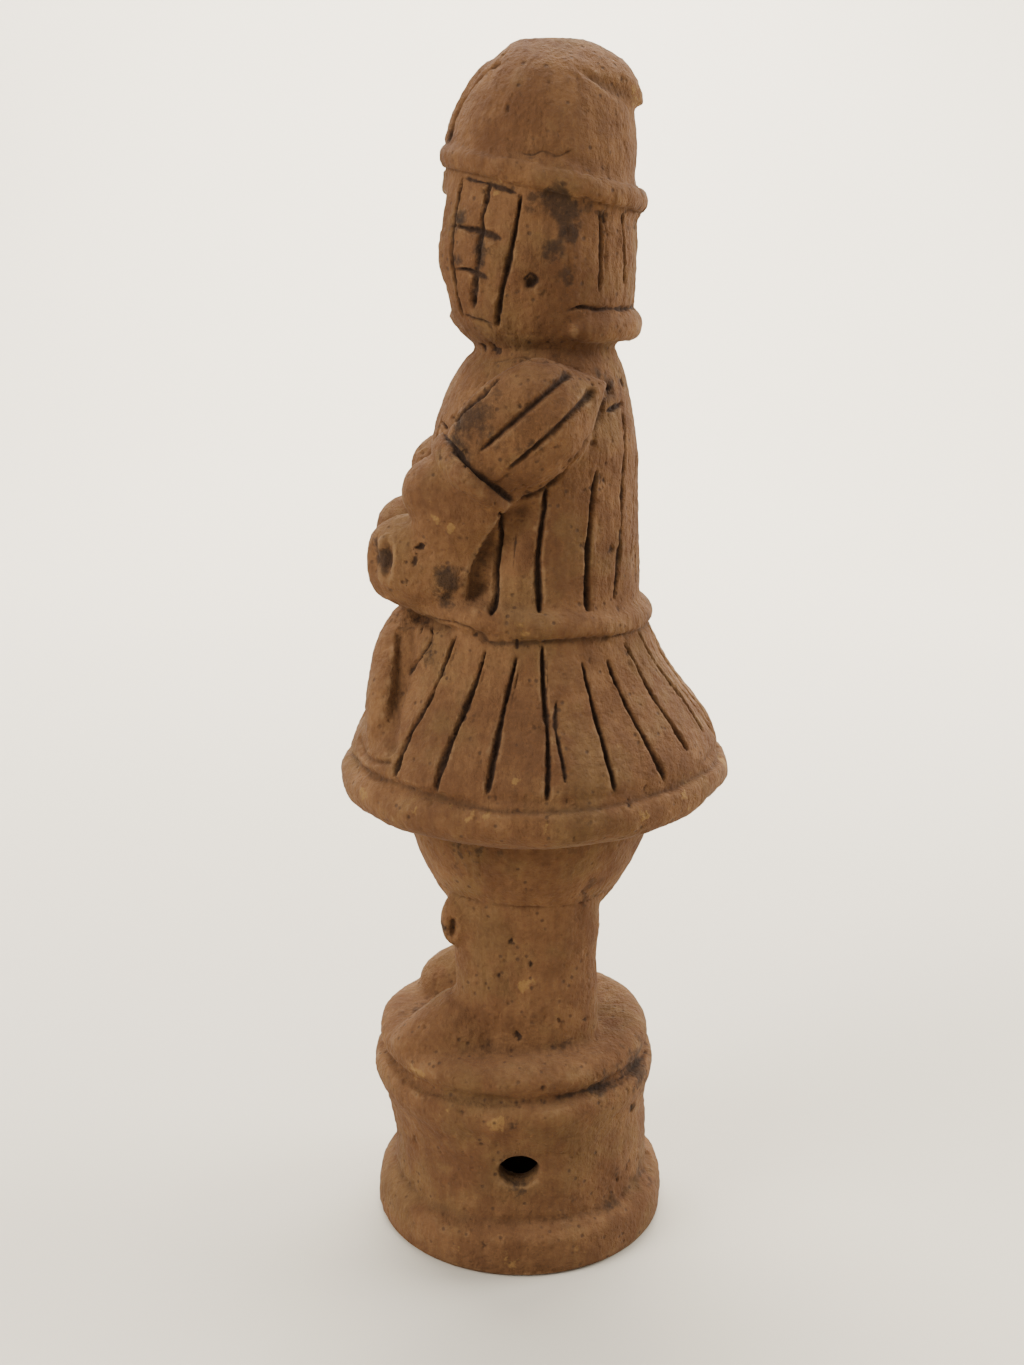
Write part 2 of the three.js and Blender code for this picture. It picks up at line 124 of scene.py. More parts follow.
def on_whole_form(operator, **settings):
    """Runs one edit-mode operator on all of the active form."""
    bpy.ops.object.mode_set(mode="EDIT")
    bpy.ops.mesh.select_all(action="SELECT")
    operator(**settings)
    bpy.ops.object.mode_set(mode="OBJECT")

def keep_form(form, name):
    """Closes the form's mesh cleanly, gives it its name and puts it with the clay."""
    on_whole_form(bpy.ops.mesh.remove_doubles, threshold=0.01 * mm)
    on_whole_form(bpy.ops.mesh.normals_make_consistent, inside=False)
    bpy.ops.object.transform_apply(location=True, rotation=True, scale=True)
    form.name = name
    clay_forms.append(form)
    print(name, "size in mm", [round(side / mm, 1) for side in form.dimensions])
    return form

def turn_form(name, stations, width_ratio=1, sides=96, steps=4):
    """A round form through [height, radius, shift along Y] stations in mm."""
    rings = smooth_path(stations, steps) * mm
    height, radius, shift = rings[0]
    bpy.ops.object.select_all(action="DESELECT")
    bpy.ops.mesh.primitive_circle_add(
        vertices=sides, radius=radius, fill_type="NGON", location=(0, shift, height)
    )
    form = bpy.context.object
    bpy.ops.object.transform_apply(location=True, rotation=True, scale=True)
    bpy.ops.object.mode_set(mode="EDIT")
    bpy.ops.mesh.select_all(action="SELECT")
    for next_height, next_radius, next_shift in rings[1:]:
        step = (0, next_shift - shift, next_height - height)
        growth = next_radius / radius
        middle = (0, next_shift, next_height)
        bpy.ops.mesh.extrude_region_move(TRANSFORM_OT_translate={"value": step})
        bpy.ops.transform.resize(value=(growth, growth, 1), center_override=middle)
        height, radius, shift = next_height, next_radius, next_shift
    bpy.ops.object.mode_set(mode="OBJECT")
    on_whole_form(bpy.ops.transform.resize, value=(width_ratio, 1, 1), center_override=(0, 0, 0))
    return keep_form(form, name)

# %% [markdown]
# ## The drum
# The figure stands on a hollow drum with a flange at its foot, a raised band near the
# top and a groove over it. The upper half leans a little forward, as the real one does.

# %% Turn the drum
drum_forward = 2.5
drum_lean = 1.4
drum_outline = [
    [0, 28.7], [0.8, 29.2], [1.9, 29.4], [5, 29.5], [7.6, 29.3], [8.9, 28.6], [9.6, 27.6],
    [10.6, 26.6], [12, 26.1], [18, 26.1], [24.5, 26.2], [28, 26.9], [30.6, 27.8],
    [33, 28.5], [35, 28.2], [36.2, 27.1], [37.2, 25.9], [38.1, 26.5], [39.3, 27.3],
    [41, 27.2], [42.2, 26.2], [43, 24.4], [43.2, 22],
]

def drum_shift(height):
    """How far the drum's middle lies towards the front at a height, in mm."""
    return -drum_forward - drum_lean * np.clip((height - 17) / 15, 0, 1)

drum = turn_form("drum", [[z, r, drum_shift(z)] for z, r in drum_outline])

# %% [markdown]
# The drum was scooped out from below so that it would dry and fire evenly, and a stick
# was pushed through the wall on each side to let out the steam. Both are cut with
# Boolean modifiers. The cutters are a disc extruded upwards with a narrower last step,
# and a plain round bar, and both are thrown away after the cut.

# %% Hollow the drum
def cut_away(form, cutter):
    """Cuts the cutter's shape out of a form, then removes the cutter."""
    select_only(form)
    cut = form.modifiers.new("cut", "BOOLEAN")
    cut.operation = "DIFFERENCE"
    cut.solver = "EXACT"
    cut.object = cutter
    bpy.ops.object.modifier_apply(modifier=cut.name)
    if cutter in clay_forms:
        clay_forms.remove(cutter)
    bpy.data.objects.remove(cutter)

scoop_outline = [[-1, 20.9], [14, 20.4], [29, 20.2], [34, 18], [36, 12]]
scoop = turn_form("scoop", [[z, r, -drum_forward] for z, r in scoop_outline], sides=48, steps=3)
cut_away(drum, scoop)
steam_hole = (0, -2.9 * mm, 21.4 * mm)
bpy.ops.object.select_all(action="DESELECT")
bpy.ops.mesh.primitive_cylinder_add(
    vertices=32, radius=3.2 * mm, depth=70 * mm, rotation=(0, math.pi / 2, 0), location=steam_hole
)
bar = bpy.context.object
on_whole_form(bpy.ops.transform.resize, value=(1, 1.22, 1), center_override=steam_hole)
cut_away(drum, bar)
print("drum corners after the cuts", len(drum.data.vertices))

# %% [markdown]
# ## Rolls of clay
# Arms, feet, shoulder guards and sword were rolled between the hands, bent and pressed
# on. They run along a path that is plain to see from the side. A disc is extruded along
# the path, and every ring is moved, turned to face along the path and resized. The first
# and last rings shrink quickly, which rounds the ends; a smaller roundness makes them
# blunter.

# %% Helper for rolls
def share_of(values, t):
    """The value at a share t of the way along a list."""
    return float(np.interp(t * (len(values) - 1), np.arange(len(values)), values))

def place_on(line, t):
    """The place, in metres, at a share t of the way along a line in mm."""
    return np.array([share_of(line[:, axis], t) for axis in range(3)]) * mm

def roll_form(name, path, half_widths, half_depths, roundness=0.4, sides=28, rings=16):
    """A roll along [x, y, z] points in mm, wide in the side view and deep along X."""
    line = smooth_path(path, 20)
    shares = 0.5 - 0.5 * np.cos(np.linspace(0.1, math.pi - 0.1, rings))
    at = [place_on(line, t) for t in shares]
    ahead = [place_on(line, min(t + 0.02, 1)) for t in shares]
    behind = [place_on(line, max(t - 0.02, 0)) for t in shares]
    turns = [math.atan2(b[1] - a[1], a[2] - b[2]) for a, b in zip(ahead, behind)]
    round_off = np.sin(math.pi * shares) ** roundness
    widths = [share_of(half_widths, t) * r * mm for t, r in zip(shares, round_off)]
    depths = [share_of(half_depths, t) * r * mm for t, r in zip(shares, round_off)]
    bpy.ops.object.select_all(action="DESELECT")
    bpy.ops.mesh.primitive_circle_add(
        vertices=sides, radius=widths[0], fill_type="NGON", location=at[0], rotation=(turns[0], 0, 0)
    )
    form = bpy.context.object
    bpy.ops.object.transform_apply(location=True, rotation=True, scale=True)
    bpy.ops.object.mode_set(mode="EDIT")
    bpy.ops.mesh.select_all(action="SELECT")
    bpy.ops.transform.resize(value=(depths[0] / widths[0], 1, 1), center_override=at[0])
    for i in range(1, rings):
        bpy.ops.mesh.extrude_region_move(TRANSFORM_OT_translate={"value": tuple(at[i] - at[i - 1])})
        bpy.ops.transform.rotate(
            value=turns[i - 1] - turns[i], orient_axis="X", center_override=tuple(at[i])
        )
        growth = widths[i] / widths[i - 1]
        bpy.ops.transform.resize(value=(growth, growth, growth), center_override=at[i])
        deeper = depths[i] / depths[i - 1] / growth
        bpy.ops.transform.resize(value=(deeper, 1, 1), center_override=at[i])
    bpy.ops.object.mode_set(mode="OBJECT")
    return keep_form(form, name)

def mirror_form(form):
    """Adds the same form on the other side of the figure."""
    select_only(form)
    mirror = form.modifiers.new("other side", "MIRROR")
    mirror.use_mirror_merge = False
    bpy.ops.object.modifier_apply(modifier=mirror.name)
    print(form.name, "on both sides, corners", len(form.data.vertices))
    return form

# %% [markdown]
# ## Legs and feet
# The legs are one pair of stout posts that touch along the middle, deeper than they are
# wide. A foot is a short roll pointing forward that sinks into the top of the drum. The
# left one slopes to a thin toe and the right one ends blunt.

# %% Legs and feet
leg_forward = 1.4
leg_outline = [[41, 14.3], [44, 14.2], [50, 14], [60, 14], [66, 14.3], [74, 14.6]]
leg = turn_form("leg", [[z, r, -leg_forward] for z, r in leg_outline], width_ratio=0.65, sides=64)
on_whole_form(bpy.ops.transform.translate, value=(9.6 * mm, 0, 0))
mirror_form(leg)
roll_form(
    "left_foot",
    [[9.6, -4, 44.2], [10.6, -15, 43.4], [11.4, -28.4, 42]],
    [8.8, 9.4, 2.4], [8.8, 8.2, 7], roundness=0.3,
)
roll_form(
    "right_foot",
    [[-9.6, -4, 44.2], [-11.2, -13, 43.8], [-11.8, -23.6, 42.8]],
    [8.8, 8.8, 6.6], [8.6, 9, 8], roundness=0.3,
)

# %% [markdown]
# The trouser legs are tied below the knee. The end of each tie is a small lump at the
# front of the leg, with a slot pressed into it. A sphere is squeezed to size for it, and
# a thin box, with its edges bevelled, cuts the slot.

# %% Knots of the ties
def ball_form(name, middle, half_sizes, segments=32):
    """A ball squeezed to three half sizes, in mm."""
    bpy.ops.object.select_all(action="DESELECT")
    bpy.ops.mesh.primitive_uv_sphere_add(
        segments=segments, ring_count=segments // 2, radius=mm, location=[x * mm for x in middle]
    )
    form = bpy.context.object
    on_whole_form(bpy.ops.transform.resize, value=half_sizes, center_override=[x * mm for x in middle])
    return keep_form(form, name)

def block_form(name, middle, sizes, rounding):
    """A block with rounded edges, in mm."""
    bpy.ops.object.select_all(action="DESELECT")
    bpy.ops.mesh.primitive_cube_add(size=mm, location=[x * mm for x in middle])
    form = bpy.context.object
    on_whole_form(bpy.ops.transform.resize, value=sizes, center_override=[x * mm for x in middle])
    on_whole_form(bpy.ops.mesh.bevel, offset=rounding * mm, segments=4, affect="EDGES")
    return keep_form(form, name)

knot = ball_form("knot", (12.1, -15.2, 68.2), (3.6, 2.9, 5.2))
cut_away(knot, block_form("slot", (15.2, -15.6, 67.8), (4, 1.3, 4.6), 0.4))
mirror_form(knot)

# %% [markdown]
# ## Trousers, skirt, body and belt
# The padded trousers are a bowl under the skirt. The skirt of the armour flares from the
# belt to a thick rolled rim, which is cut off from the pleats by a groove. It tips up a
# little at the back, so after turning it is rotated by that angle. The body narrows
# upwards and bends into the shoulders.

# %% Turn the trousers, skirt and body
turn_form("trousers", [
    [67, 13.6, -1.3], [69, 15, -1.3], [70.4, 16.6, -1.2], [73.5, 18.7, -1.2], [77.5, 21, -1.1],
    [81, 22.4, -1], [85, 23.7, -0.9], [89.5, 24.4, -0.8], [94, 25, -0.8],
])
turn_form("skirt", [
    [88.6, 24.5, -0.6], [89.6, 29, -0.3], [91.6, 33.6, 0], [93, 36.1, 0], [94.6, 37.3, 0],
    [96.4, 37.7, 0], [98.2, 37.3, 0], [99.5, 36.3, 0], [100.5, 35.1, 0], [101.6, 35.6, 0],
    [103, 35.2, 0], [105.4, 34, 0], [109.3, 31.6, -0.1], [113.6, 28.5, -0.3],
    [117.9, 25.9, -0.5], [121.5, 24.3, -0.7], [124.5, 23.2, -0.9], [127, 22.6, -1],
], sides=128)
skirt_tip = math.atan(0.022)
on_whole_form(bpy.ops.transform.rotate, value=-skirt_tip, orient_axis="X", center_override=(0, 0, 98 * mm))
turn_form("body", [
    [123, 21.4, -1], [131.4, 20.6, -0.6], [140, 19.9, -0.4], [148.9, 19.3, -0.2], [156, 19.1, -0.1],
    [161, 18.8, 0], [167.4, 17.2, 0.3], [171, 16, 0.7], [173.8, 14.6, 1.1], [176.5, 12.9, 1.6],
    [178.5, 12.3, 1.9], [182, 12.4, 1.9],
], width_ratio=1.04)

# %% [markdown]
# The belt is a roll of clay laid round the waist, a little higher at the front. A torus
# is the natural start. Its section is then flattened a little, and the seam where the
# roll meets the skirt is left for the skin over all the forms.

# %% Belt
def ring_form(name, middle, ring_radius, roll_radius, tilt, flatten):
    """A roll of clay laid in a ring, in mm, tilted by an angle in degrees."""
    place = [x * mm for x in middle]
    bpy.ops.object.select_all(action="DESELECT")
    bpy.ops.mesh.primitive_torus_add(
        major_segments=96, minor_segments=20, major_radius=ring_radius * mm,
        minor_radius=roll_radius * mm, location=place, rotation=(math.radians(tilt), 0, 0),
    )
    form = bpy.context.object
    on_whole_form(bpy.ops.transform.resize, value=(1, 1, flatten), center_override=place)
    return keep_form(form, name)

ring_form("belt", (0, -1.6, 129.5), 21.3, 2.9, -6, 0.96)

# %% [markdown]
# ## Arms and shoulder guards
# Each arm comes forward from the shoulder, hangs into a full sleeve and bends at the
# elbow, so that the closed hands meet in front of the belt. The hand has a hollow at its
# front, where a stick was pressed in. The shoulder guard is a pointed dome over the top
# of the arm, with a thick roll along its lower end.

# %% Arms
reach = 18.3
arm_rolls = [
    roll_form(
        "upper_arm",
        [[reach - 2, -2, 160], [reach - 1, -8, 155], [reach - 1.6, -13.4, 148], [reach - 3.3, -13, 136]],
        [8.6, 8.6, 10.2, 8.6], [6.4, 6.4, 6.4, 5.8],
    ),
    roll_form(
        "forearm",
        [[reach - 3, -4, 139], [reach - 5, -18, 139.2], [reach - 7.6, -30.6, 138.9]],
        [8.2, 9, 9.6], [6, 6.8, 6.8], roundness=0.28,
    ),
    ball_form("sleeve_end", (reach - 2.6, -15.8, 152.6), (6.6, 8.2, 6.6)),
]
hand_hollow = ball_form("hand_hollow", (reach - 2.8, -30.4, 140.2), (2.8, 2.8, 4.2))
cut_away(arm_rolls[1], hand_hollow)
for arm_roll in arm_rolls:
    mirror_form(arm_roll)

# %% Shoulder guards
guard_dome = roll_form(
    "guard_dome",
    [[reach - 3.4, 12.6, 171.8], [reach + 1.8, 1, 166.4], [reach + 2.4, -14.6, 157.4]],
    [2.1, 9.8, 10.6, 11], [5, 6.2, 6.2, 6.2],
)
guard_roll = roll_form(
    "guard_roll",
    [[reach - 2.8, -17.2, 162.4], [reach + 2.6, -12.8, 157], [reach + 2.2, -5.2, 149.8]],
    [3.1, 3.1, 2.5], [5, 6.3, 5], roundness=0.3,
)
mirror_form(guard_dome)
mirror_form(guard_roll)

# %% [markdown]
# ## The sword
# A short sword hangs from the belt under the left hand and lies on the skirt. It is a
# smooth roll that widens towards its end. The far side has nothing there, which leaves
# the skirt's pleats free.

# %% Sword
roll_form(
    "sword",
    [[3.6, -22.8, 130], [6.6, -25.8, 120], [12.2, -30, 103.6]],
    [4.4, 4.6, 4.4], [4.8, 5.8, 9.4],
)

# %% [markdown]
# ## Head and face
# The cheek guards and the neck guard wrap the head, so it is a plain round form. The
# face is a shallow field cut between the cheek guards. It can't be seen from the side,
# so it is kept simple and calm: a small nose, two slits for the eyes and one for the
# mouth, on the usual thirds.

# %% Head and face
head = turn_form("head", [
    [177, 11.8, 1.6], [178.4, 14, 1.3], [180, 15.3, 1], [182.3, 16.5, 0.7], [186.6, 17.5, 0.3],
    [192.9, 18.4, -0.3], [201, 18, 0.2], [209, 17, 0.7],
])
cut_away(head, block_form("face_field", (0, -18.6, 193.2), (12, 7, 21.4), 1.6))
ball_form("nose", (0, -14.7, 193.6), (1.5, 1.9, 3.4))
neck_roll_path = [
    [15.5 * math.sin(a), 1.2 - 15.5 * math.cos(a), 181] for a in np.radians(np.arange(100, 261, 8))
]

# %% [markdown]
# The neck guard ends in a small roll of clay round the back of the head. It was laid on
# the finished head, so it is a tube along an arc: a curve with a round bevel does that in
# one step, and is then made a mesh.

# %% Roll under the neck guard
def cord_of_clay(name, points, radius):
    """A thin roll of clay with round ends along [x, y, z] points in mm."""
    line = bpy.data.curves.new(name, "CURVE")
    line.dimensions = "3D"
    line.bevel_depth = radius * mm
    line.bevel_resolution = 4
    line.use_fill_caps = True
    spline = line.splines.new("POLY")
    spline.points.add(len(points) - 1)
    for point, (x, y, z) in zip(spline.points, points):
        point.co = (x * mm, y * mm, z * mm, 1)
    ends = [0.25, 0.7, 0.9]
    for i, share in enumerate(ends):
        spline.points[i].radius = share
        spline.points[-1 - i].radius = share
    form = bpy.data.objects.new(name, line)
    bpy.context.scene.collection.objects.link(form)
    select_only(form)
    bpy.ops.object.convert(target="MESH")
    return keep_form(bpy.context.object, name)

cord_of_clay("neck_roll", neck_roll_path, 2.7)

# %% [markdown]
# ## Helmet
# The bowl of the helmet leans back as it rises. Round its foot runs a rolled rim that is
# lower at the back. A plate lies over the top and hangs over the bowl as a lip at the
# back, and a flat keel runs down the front.

# %% Helmet bowl, rim, plate and keel
turn_form("helmet", [
    [203.5, 17, 1], [207, 17.3, 0.9], [210, 17.3, 1.1], [213.2, 16.8, 1.5], [216.3, 16.1, 1.8],
    [220.8, 14.3, 2.4], [225, 11.5, 2.6], [228, 7.8, 2.1], [229.5, 3.9, 1.5],
])
ring_form("helmet_rim", (0, 1.6, 206.5), 16.4, 2.9, -13.4, 1)
ball_form("plate", (0, 3.4, 219.6), (11.4, 16, 11), segments=48)
plate_tilt = math.radians(-23)
on_whole_form(
    bpy.ops.mesh.bisect, plane_co=(0, 7 * mm, 223.6 * mm),
    plane_no=(0, -math.sin(plate_tilt), math.cos(plate_tilt)), use_fill=True, clear_inner=True,
)
keel_outline = [[-14.9, 209], [-14.6, 212], [-13.5, 216], [-11.4, 220], [-8.8, 223.4], [-5.6, 226.2]]
cord_of_clay("keel", smooth_path([[0, y, z] for y, z in keel_outline], 4), 2)
on_whole_form(bpy.ops.transform.resize, value=(1.15, 1, 1), center_override=(0, 0, 0))
print("forms of clay", len(clay_forms))

# %% [markdown]
# ## One skin over all the forms
# Up to here the forms only stand inside each other. On the real figure the joins were
# smoothed over with a wet finger, so there are no sharp seams. A voxel remesh draws one
# skin round everything, and a few rounds of smoothing soften the joins. A second, finer
# remesh then gives the even, dense mesh that carving needs. The carving is too fine and
# too irregular for edit mode, so it is done on the mesh's corners with numpy.

# %% Join and skin the clay
bpy.ops.object.select_all(action="DESELECT")
for form in clay_forms:
    form.select_set(True)
bpy.context.view_layer.objects.active = clay_forms[0]
bpy.ops.object.join()
clay = bpy.context.object
clay.name = "warrior_clay"

def apply_to_clay(kind, settings):
    """Adds a modifier with its settings to the clay, and applies it."""
    modifier = clay.modifiers.new(kind, kind)
    for setting, value in settings.items():
        setattr(modifier, setting, value)
    bpy.ops.object.modifier_apply(modifier=modifier.name)
    print(kind.lower(), "leaves corners", len(clay.data.vertices))

apply_to_clay("REMESH", {"mode": "VOXEL", "voxel_size": 0.6 * mm})
apply_to_clay("SMOOTH", {"factor": 0.5, "iterations": 4})
apply_to_clay("REMESH", {"mode": "VOXEL", "voxel_size": 0.46 * mm})
apply_to_clay("SMOOTH", {"factor": 0.5, "iterations": 2})

# %% [markdown]
# From here on the corners are read into numpy arrays in millimetres. Each corner also
# gets the direction that points out of the clay. It is averaged over the neighbours, so
# that a carved line goes straight in even where the skin is uneven.

# %% Read the skin
def read_corners(mesh):
    """All corners of a mesh, in mm."""
    corners = np.empty(len(mesh.vertices) * 3, np.float32)
    mesh.vertices.foreach_get("co", corners)
    return corners.reshape(-1, 3).astype(float) / mm

def read_edges(mesh):
    """The two corner numbers of every edge."""
    edges = np.empty(len(mesh.edges) * 2, np.int32)
    mesh.edges.foreach_get("vertices", edges)
    return edges.reshape(-1, 2)

def averaged(values, edges, rounds):
    """Each corner's value, averaged with its neighbours again and again."""
    count = len(values)
    neighbours = np.bincount(edges.ravel(), minlength=count)[:, None].clip(1)
    for _ in range(rounds):
        total = np.stack([
            np.bincount(edges[:, 0], values[edges[:, 1], axis], count)
            + np.bincount(edges[:, 1], values[edges[:, 0], axis], count)
            for axis in range(values.shape[1])
        ], axis=1)
        values = 0.5 * values + 0.5 * total / neighbours
    return values

def read_outward(mesh, edges, rounds=4):
    """The direction out of the clay at every corner, averaged over its neighbours."""
    normals = np.empty(len(mesh.vertices) * 3, np.float32)
    mesh.vertex_normals.foreach_get("vector", normals)
    normals = averaged(normals.reshape(-1, 3).astype(float), edges, rounds)
    return normals / np.linalg.norm(normals, axis=1)[:, None]

skin = read_corners(clay.data)
edges = read_edges(clay.data)
outward = read_outward(clay.data, edges)
print("skin height in mm", round(float(np.ptp(skin[:, 2])), 1), "corners", len(skin))

# %% [markdown]
# Nothing made by hand is even, so most steps need a soft irregular number for each place.
# This one spreads random numbers over a grid and blends between them. Its seed is fixed,
# so that the script gives the same figure each time it runs.

# %% Irregularity
def uneven(points, size, seed):
    """A soft random number from -1 to 1 at each point, in lumps of that size in mm."""
    grid = np.random.default_rng(seed).uniform(-1, 1, (48, 48, 48))
    place = points / np.asarray(size) + 100.0
    cell = np.floor(place).astype(int)
    part = place - cell
    part = part * part * (3 - 2 * part)
    total = np.zeros(len(points))
    for corner in range(8):
        offset = np.array([corner & 1, corner >> 1 & 1, corner >> 2 & 1])
        weight = np.where(offset == 1, part, 1 - part).prod(axis=1)
        x, y, z = ((cell + offset) % 48).T
        total += weight * grid[x, y, z]
    return total

print("range of the unevenness", round(float(np.ptp(uneven(skin[::50], 5, 1))), 2))

# %% [markdown]
# ## Forms that aren't quite true
# A few soft lumps and flats are pushed into the skin. The rim of the skirt is also wavy
# and thicker in some places than in others, because it was rolled and pinched by hand.
# The hollow inside the drum is left as it was scooped.

# %% Hand-made unevenness
hollow_radius = 22.5
hollow_top = 36.6

def in_hollow(points):
    """Which corners lie inside the drum's hollow or on its underside."""
    from_middle = np.hypot(points[:, 0], points[:, 1] + drum_forward)
    return ((from_middle < hollow_radius) & (points[:, 2] < hollow_top)) | (points[:, 2] < 1)

def angle_round(points):
    """The angle round the figure in degrees, 0 at the front and 90 at the left side."""
    return np.degrees(np.arctan2(points[:, 0], -points[:, 1]))

soft_lumps = 0.34 * uneven(skin, 16, 2) + 0.2 * uneven(skin, 6, 3) + 0.08 * uneven(skin, 2.6, 4)
skin += outward * (soft_lumps * ~in_hollow(skin))[:, None]
turn = np.radians(angle_round(skin))
rim_height = 97
rim_share = np.exp(-((skin[:, 2] - rim_height) / 4.5) ** 2) * (np.hypot(skin[:, 0], skin[:, 1]) > 29)
rim_wave = 0.55 * np.sin(5 * turn + 0.6) + 0.4 * np.sin(9 * turn + 2) + 0.3 * np.sin(14 * turn)
skin[:, 2] += rim_share * rim_wave
print("rim wave in mm", round(float(np.ptp(rim_share * rim_wave)), 2))

# %% [markdown]
# The clay behind each arm was cut back to the body, so that the arm stands free there
# with a crisp edge. The edge runs as a curve in the side view. Everything just behind it
# is pushed in, most at the edge and less further back.

# %% Cut back the clay behind the arms
arm_back_stops = [
    [-3.6, 152], [-6.2, 149.2], [-8.2, 146.2], [-9.9, 143.2], [-11.2, 140.4], [-12.1, 137.6], [-12.4, 134],
]
arm_back = smooth_path(arm_back_stops, 20)
arm_heights = arm_back[::-1, 1]
arm_places = arm_back[::-1, 0]
behind = skin[:, 1] - np.interp(skin[:, 2], arm_heights, arm_places)
sunk = np.clip(behind / 0.4, 0, 1) * np.clip((7.5 - behind) / 6, 0, 1)
sunk *= np.clip((skin[:, 2] - 132.5) / 3, 0, 1) * np.clip((152 - skin[:, 2]) / 2.5, 0, 1)
sunk *= np.abs(skin[:, 0]) > 14
arm_step = 2.5
skin[:, 0] -= np.sign(skin[:, 0]) * arm_step * sunk
print("deepest place behind the arms in mm", round(float(arm_step * sunk.max()), 2))

# %% [markdown]
# ## Where a line runs
# The lines are given by what a carver would see: an angle round the figure and a height,
# or a place in the side view. A ray sent from outside finds the clay there. Each line is
# only planned at first, and all are cut together further down.

# %% Plan lines on the clay
def write_skin(corners):
    """Puts the numpy corners back into the mesh."""
    clay.data.vertices.foreach_set("co", (corners * mm).astype(np.float32).ravel())
    clay.data.update()

def clay_hit(start, towards):
    """The first place, in mm, where a ray meets the clay."""
    found, place, _, _ = clay.ray_cast(Vector(start) * mm, Vector(towards).normalized())
    return np.array(place) / mm if found else None

def round_line(stops):
    """A line over a round form through [angle, height] stops, the angle in degrees from the front."""
    hits = []
    for angle, height in smooth_path(stops, 12):
        out = Vector((math.sin(math.radians(angle)), -math.cos(math.radians(angle)), 0))
        hits.append(clay_hit(out * 90 + Vector((0, 0, height)), -out))
    return np.array([hit for hit in hits if hit is not None])

def side_line(stops, side=1):
    """A line through [y, z] stops seen from the left (side 1) or the right (side -1)."""
    hits = [clay_hit((90 * side, y, z), (-side, 0, 0)) for y, z in smooth_path(stops, 12)]
    return np.array([hit for hit in hits if hit is not None])

planned_cuts = []

def plan_cut(path, half_width, depth, ragged=0.3, fade=1.5, dark=1.0):
    """Plans a V along a path. fade is how many mm its ends take to run out, and dark is how much shade and
    dirt is painted into the V.
    """
    if len(path) < 2:
        return
    lengths = np.concatenate([[0], np.cumsum(np.linalg.norm(np.diff(path, axis=0), axis=1))])
    spots = np.arange(0, lengths[-1] + 0.15, 0.25)
    points = np.stack([np.interp(spots, lengths, path[:, axis]) for axis in range(3)], axis=1)
    planned_cuts.append((points, spots, half_width, depth, ragged, fade, dark))

def jittered(stops, angle_by, height_by, mirrored=False):
    """The same stops a little off, or mirrored to the other side of the figure."""
    shift = np.random.default_rng(len(planned_cuts) + 500).uniform(-1, 1, 2) * (angle_by, height_by)
    turned = np.array(stops, float)
    if mirrored:
        turned[:, 0] = -turned[:, 0]
    return turned + shift

write_skin(skin)
test_line = round_line([[90, 120], [90, 104]])
print("a test line is mm long", round(float(np.linalg.norm(np.diff(test_line, axis=0), axis=1).sum()), 1))

# %% [markdown]
# ## Pleats of the skirt
# The lines fan out from the belt to the groove above the rim. They were drawn quickly,
# so they bend a little, differ in length, and one of them was drawn twice. Those on the
# left side follow the figure, and the far side has the same kind of lines, set a little
# differently.

# %% Plan the skirt
skirt_lines = [
    [[52.1, 126.8], [49.5, 122.8], [46.1, 116], [43.9, 109.3], [43.3, 101.3]],
    [[67.7, 124.9], [65.3, 119.8], [62, 112.4], [60, 106.3], [59.5, 100.7]],
    [[81.7, 124.1], [78.4, 116.4], [76.9, 109], [76, 101.6]],
    [[93.1, 126.4], [93.1, 119.1], [94, 111.3], [93.1, 100.9]],
    [[111.2, 122.8], [112.4, 115.8], [112.7, 108.7], [113.4, 101.4]],
    [[124.2, 122.6], [126, 116.6], [128, 110], [131.7, 101.4]],
    [[138.3, 124.6], [140.4, 120], [142, 114.8], [145, 105]],
    [[152, 125.6], [156.9, 119.5], [160.6, 113.6], [160.7, 105.8]],
]
for stops in skirt_lines:
    plan_cut(round_line(stops), 0.6, 1.3)
    plan_cut(round_line(jittered(stops, 2.5, 0.8, mirrored=True)), 0.6, 1.2)
plan_cut(side_line([[-19, 127], [-19.2, 124.9], [-21.1, 121.6], [-23.6, 117.6]]), 0.5, 1)
plan_cut(side_line([[-20.8, 126.5], [-21.5, 125.1]]), 0.4, 0.6, fade=0.8)
plan_cut(round_line([[-33, 125.4], [-36.4, 114], [-38, 101.6]]), 0.6, 1.1)
plan_cut(round_line([[-16, 126], [-16.6, 121.5]]), 0.4, 0.6, fade=0.8)
plan_cut(round_line([[81.5, 127.4], [81.9, 125.3]]), 0.4, 0.6, fade=0.6)
for stops in skirt_lines[:4]:
    beside = np.array(stops) + (1.6, -1.5)
    plan_cut(round_line(beside[:2]), 0.3, 0.35, ragged=0.7, dark=0.7)
plan_cut(round_line([[98, 117], [96.8, 112.9], [98.2, 107.4], [98.6, 103.8]]), 0.5, 0.8, ragged=0.5)
plan_cut(round_line([[66, 121], [64, 117], [62.5, 113]]), 0.6, 0.5, ragged=0.9, dark=0.9)
plan_cut(round_line([[163, 122], [168, 112], [170, 104]]), 0.35, 0.4)
for angle in (173, 187):
    plan_cut(round_line([[angle, 125], [angle + 1.5, 114], [angle, 103]]), 0.62, 1.2)
for angle in (-24, -10):
    plan_cut(round_line([[angle, 124], [angle - 1, 114], [angle - 2, 101.5]]), 0.62, 1.1)
rim_groove = [[angle, 99.9 + 0.5 * math.sin(angle / 20)] for angle in range(-180, 181, 12)]
plan_cut(round_line(rim_groove), 0.9, 0.55, fade=0.1, dark=0.45)
belt_side = [
    [30, 128.8], [45, 129.2], [56, 129.1], [64, 127.8],
    [67, 126.6], [80, 126.2], [100, 126.6], [140, 125.8],
]
belt_line = belt_side + [[180, 125.4]] + [[360 - angle, height - 0.3] for angle, height in belt_side[::-1]]
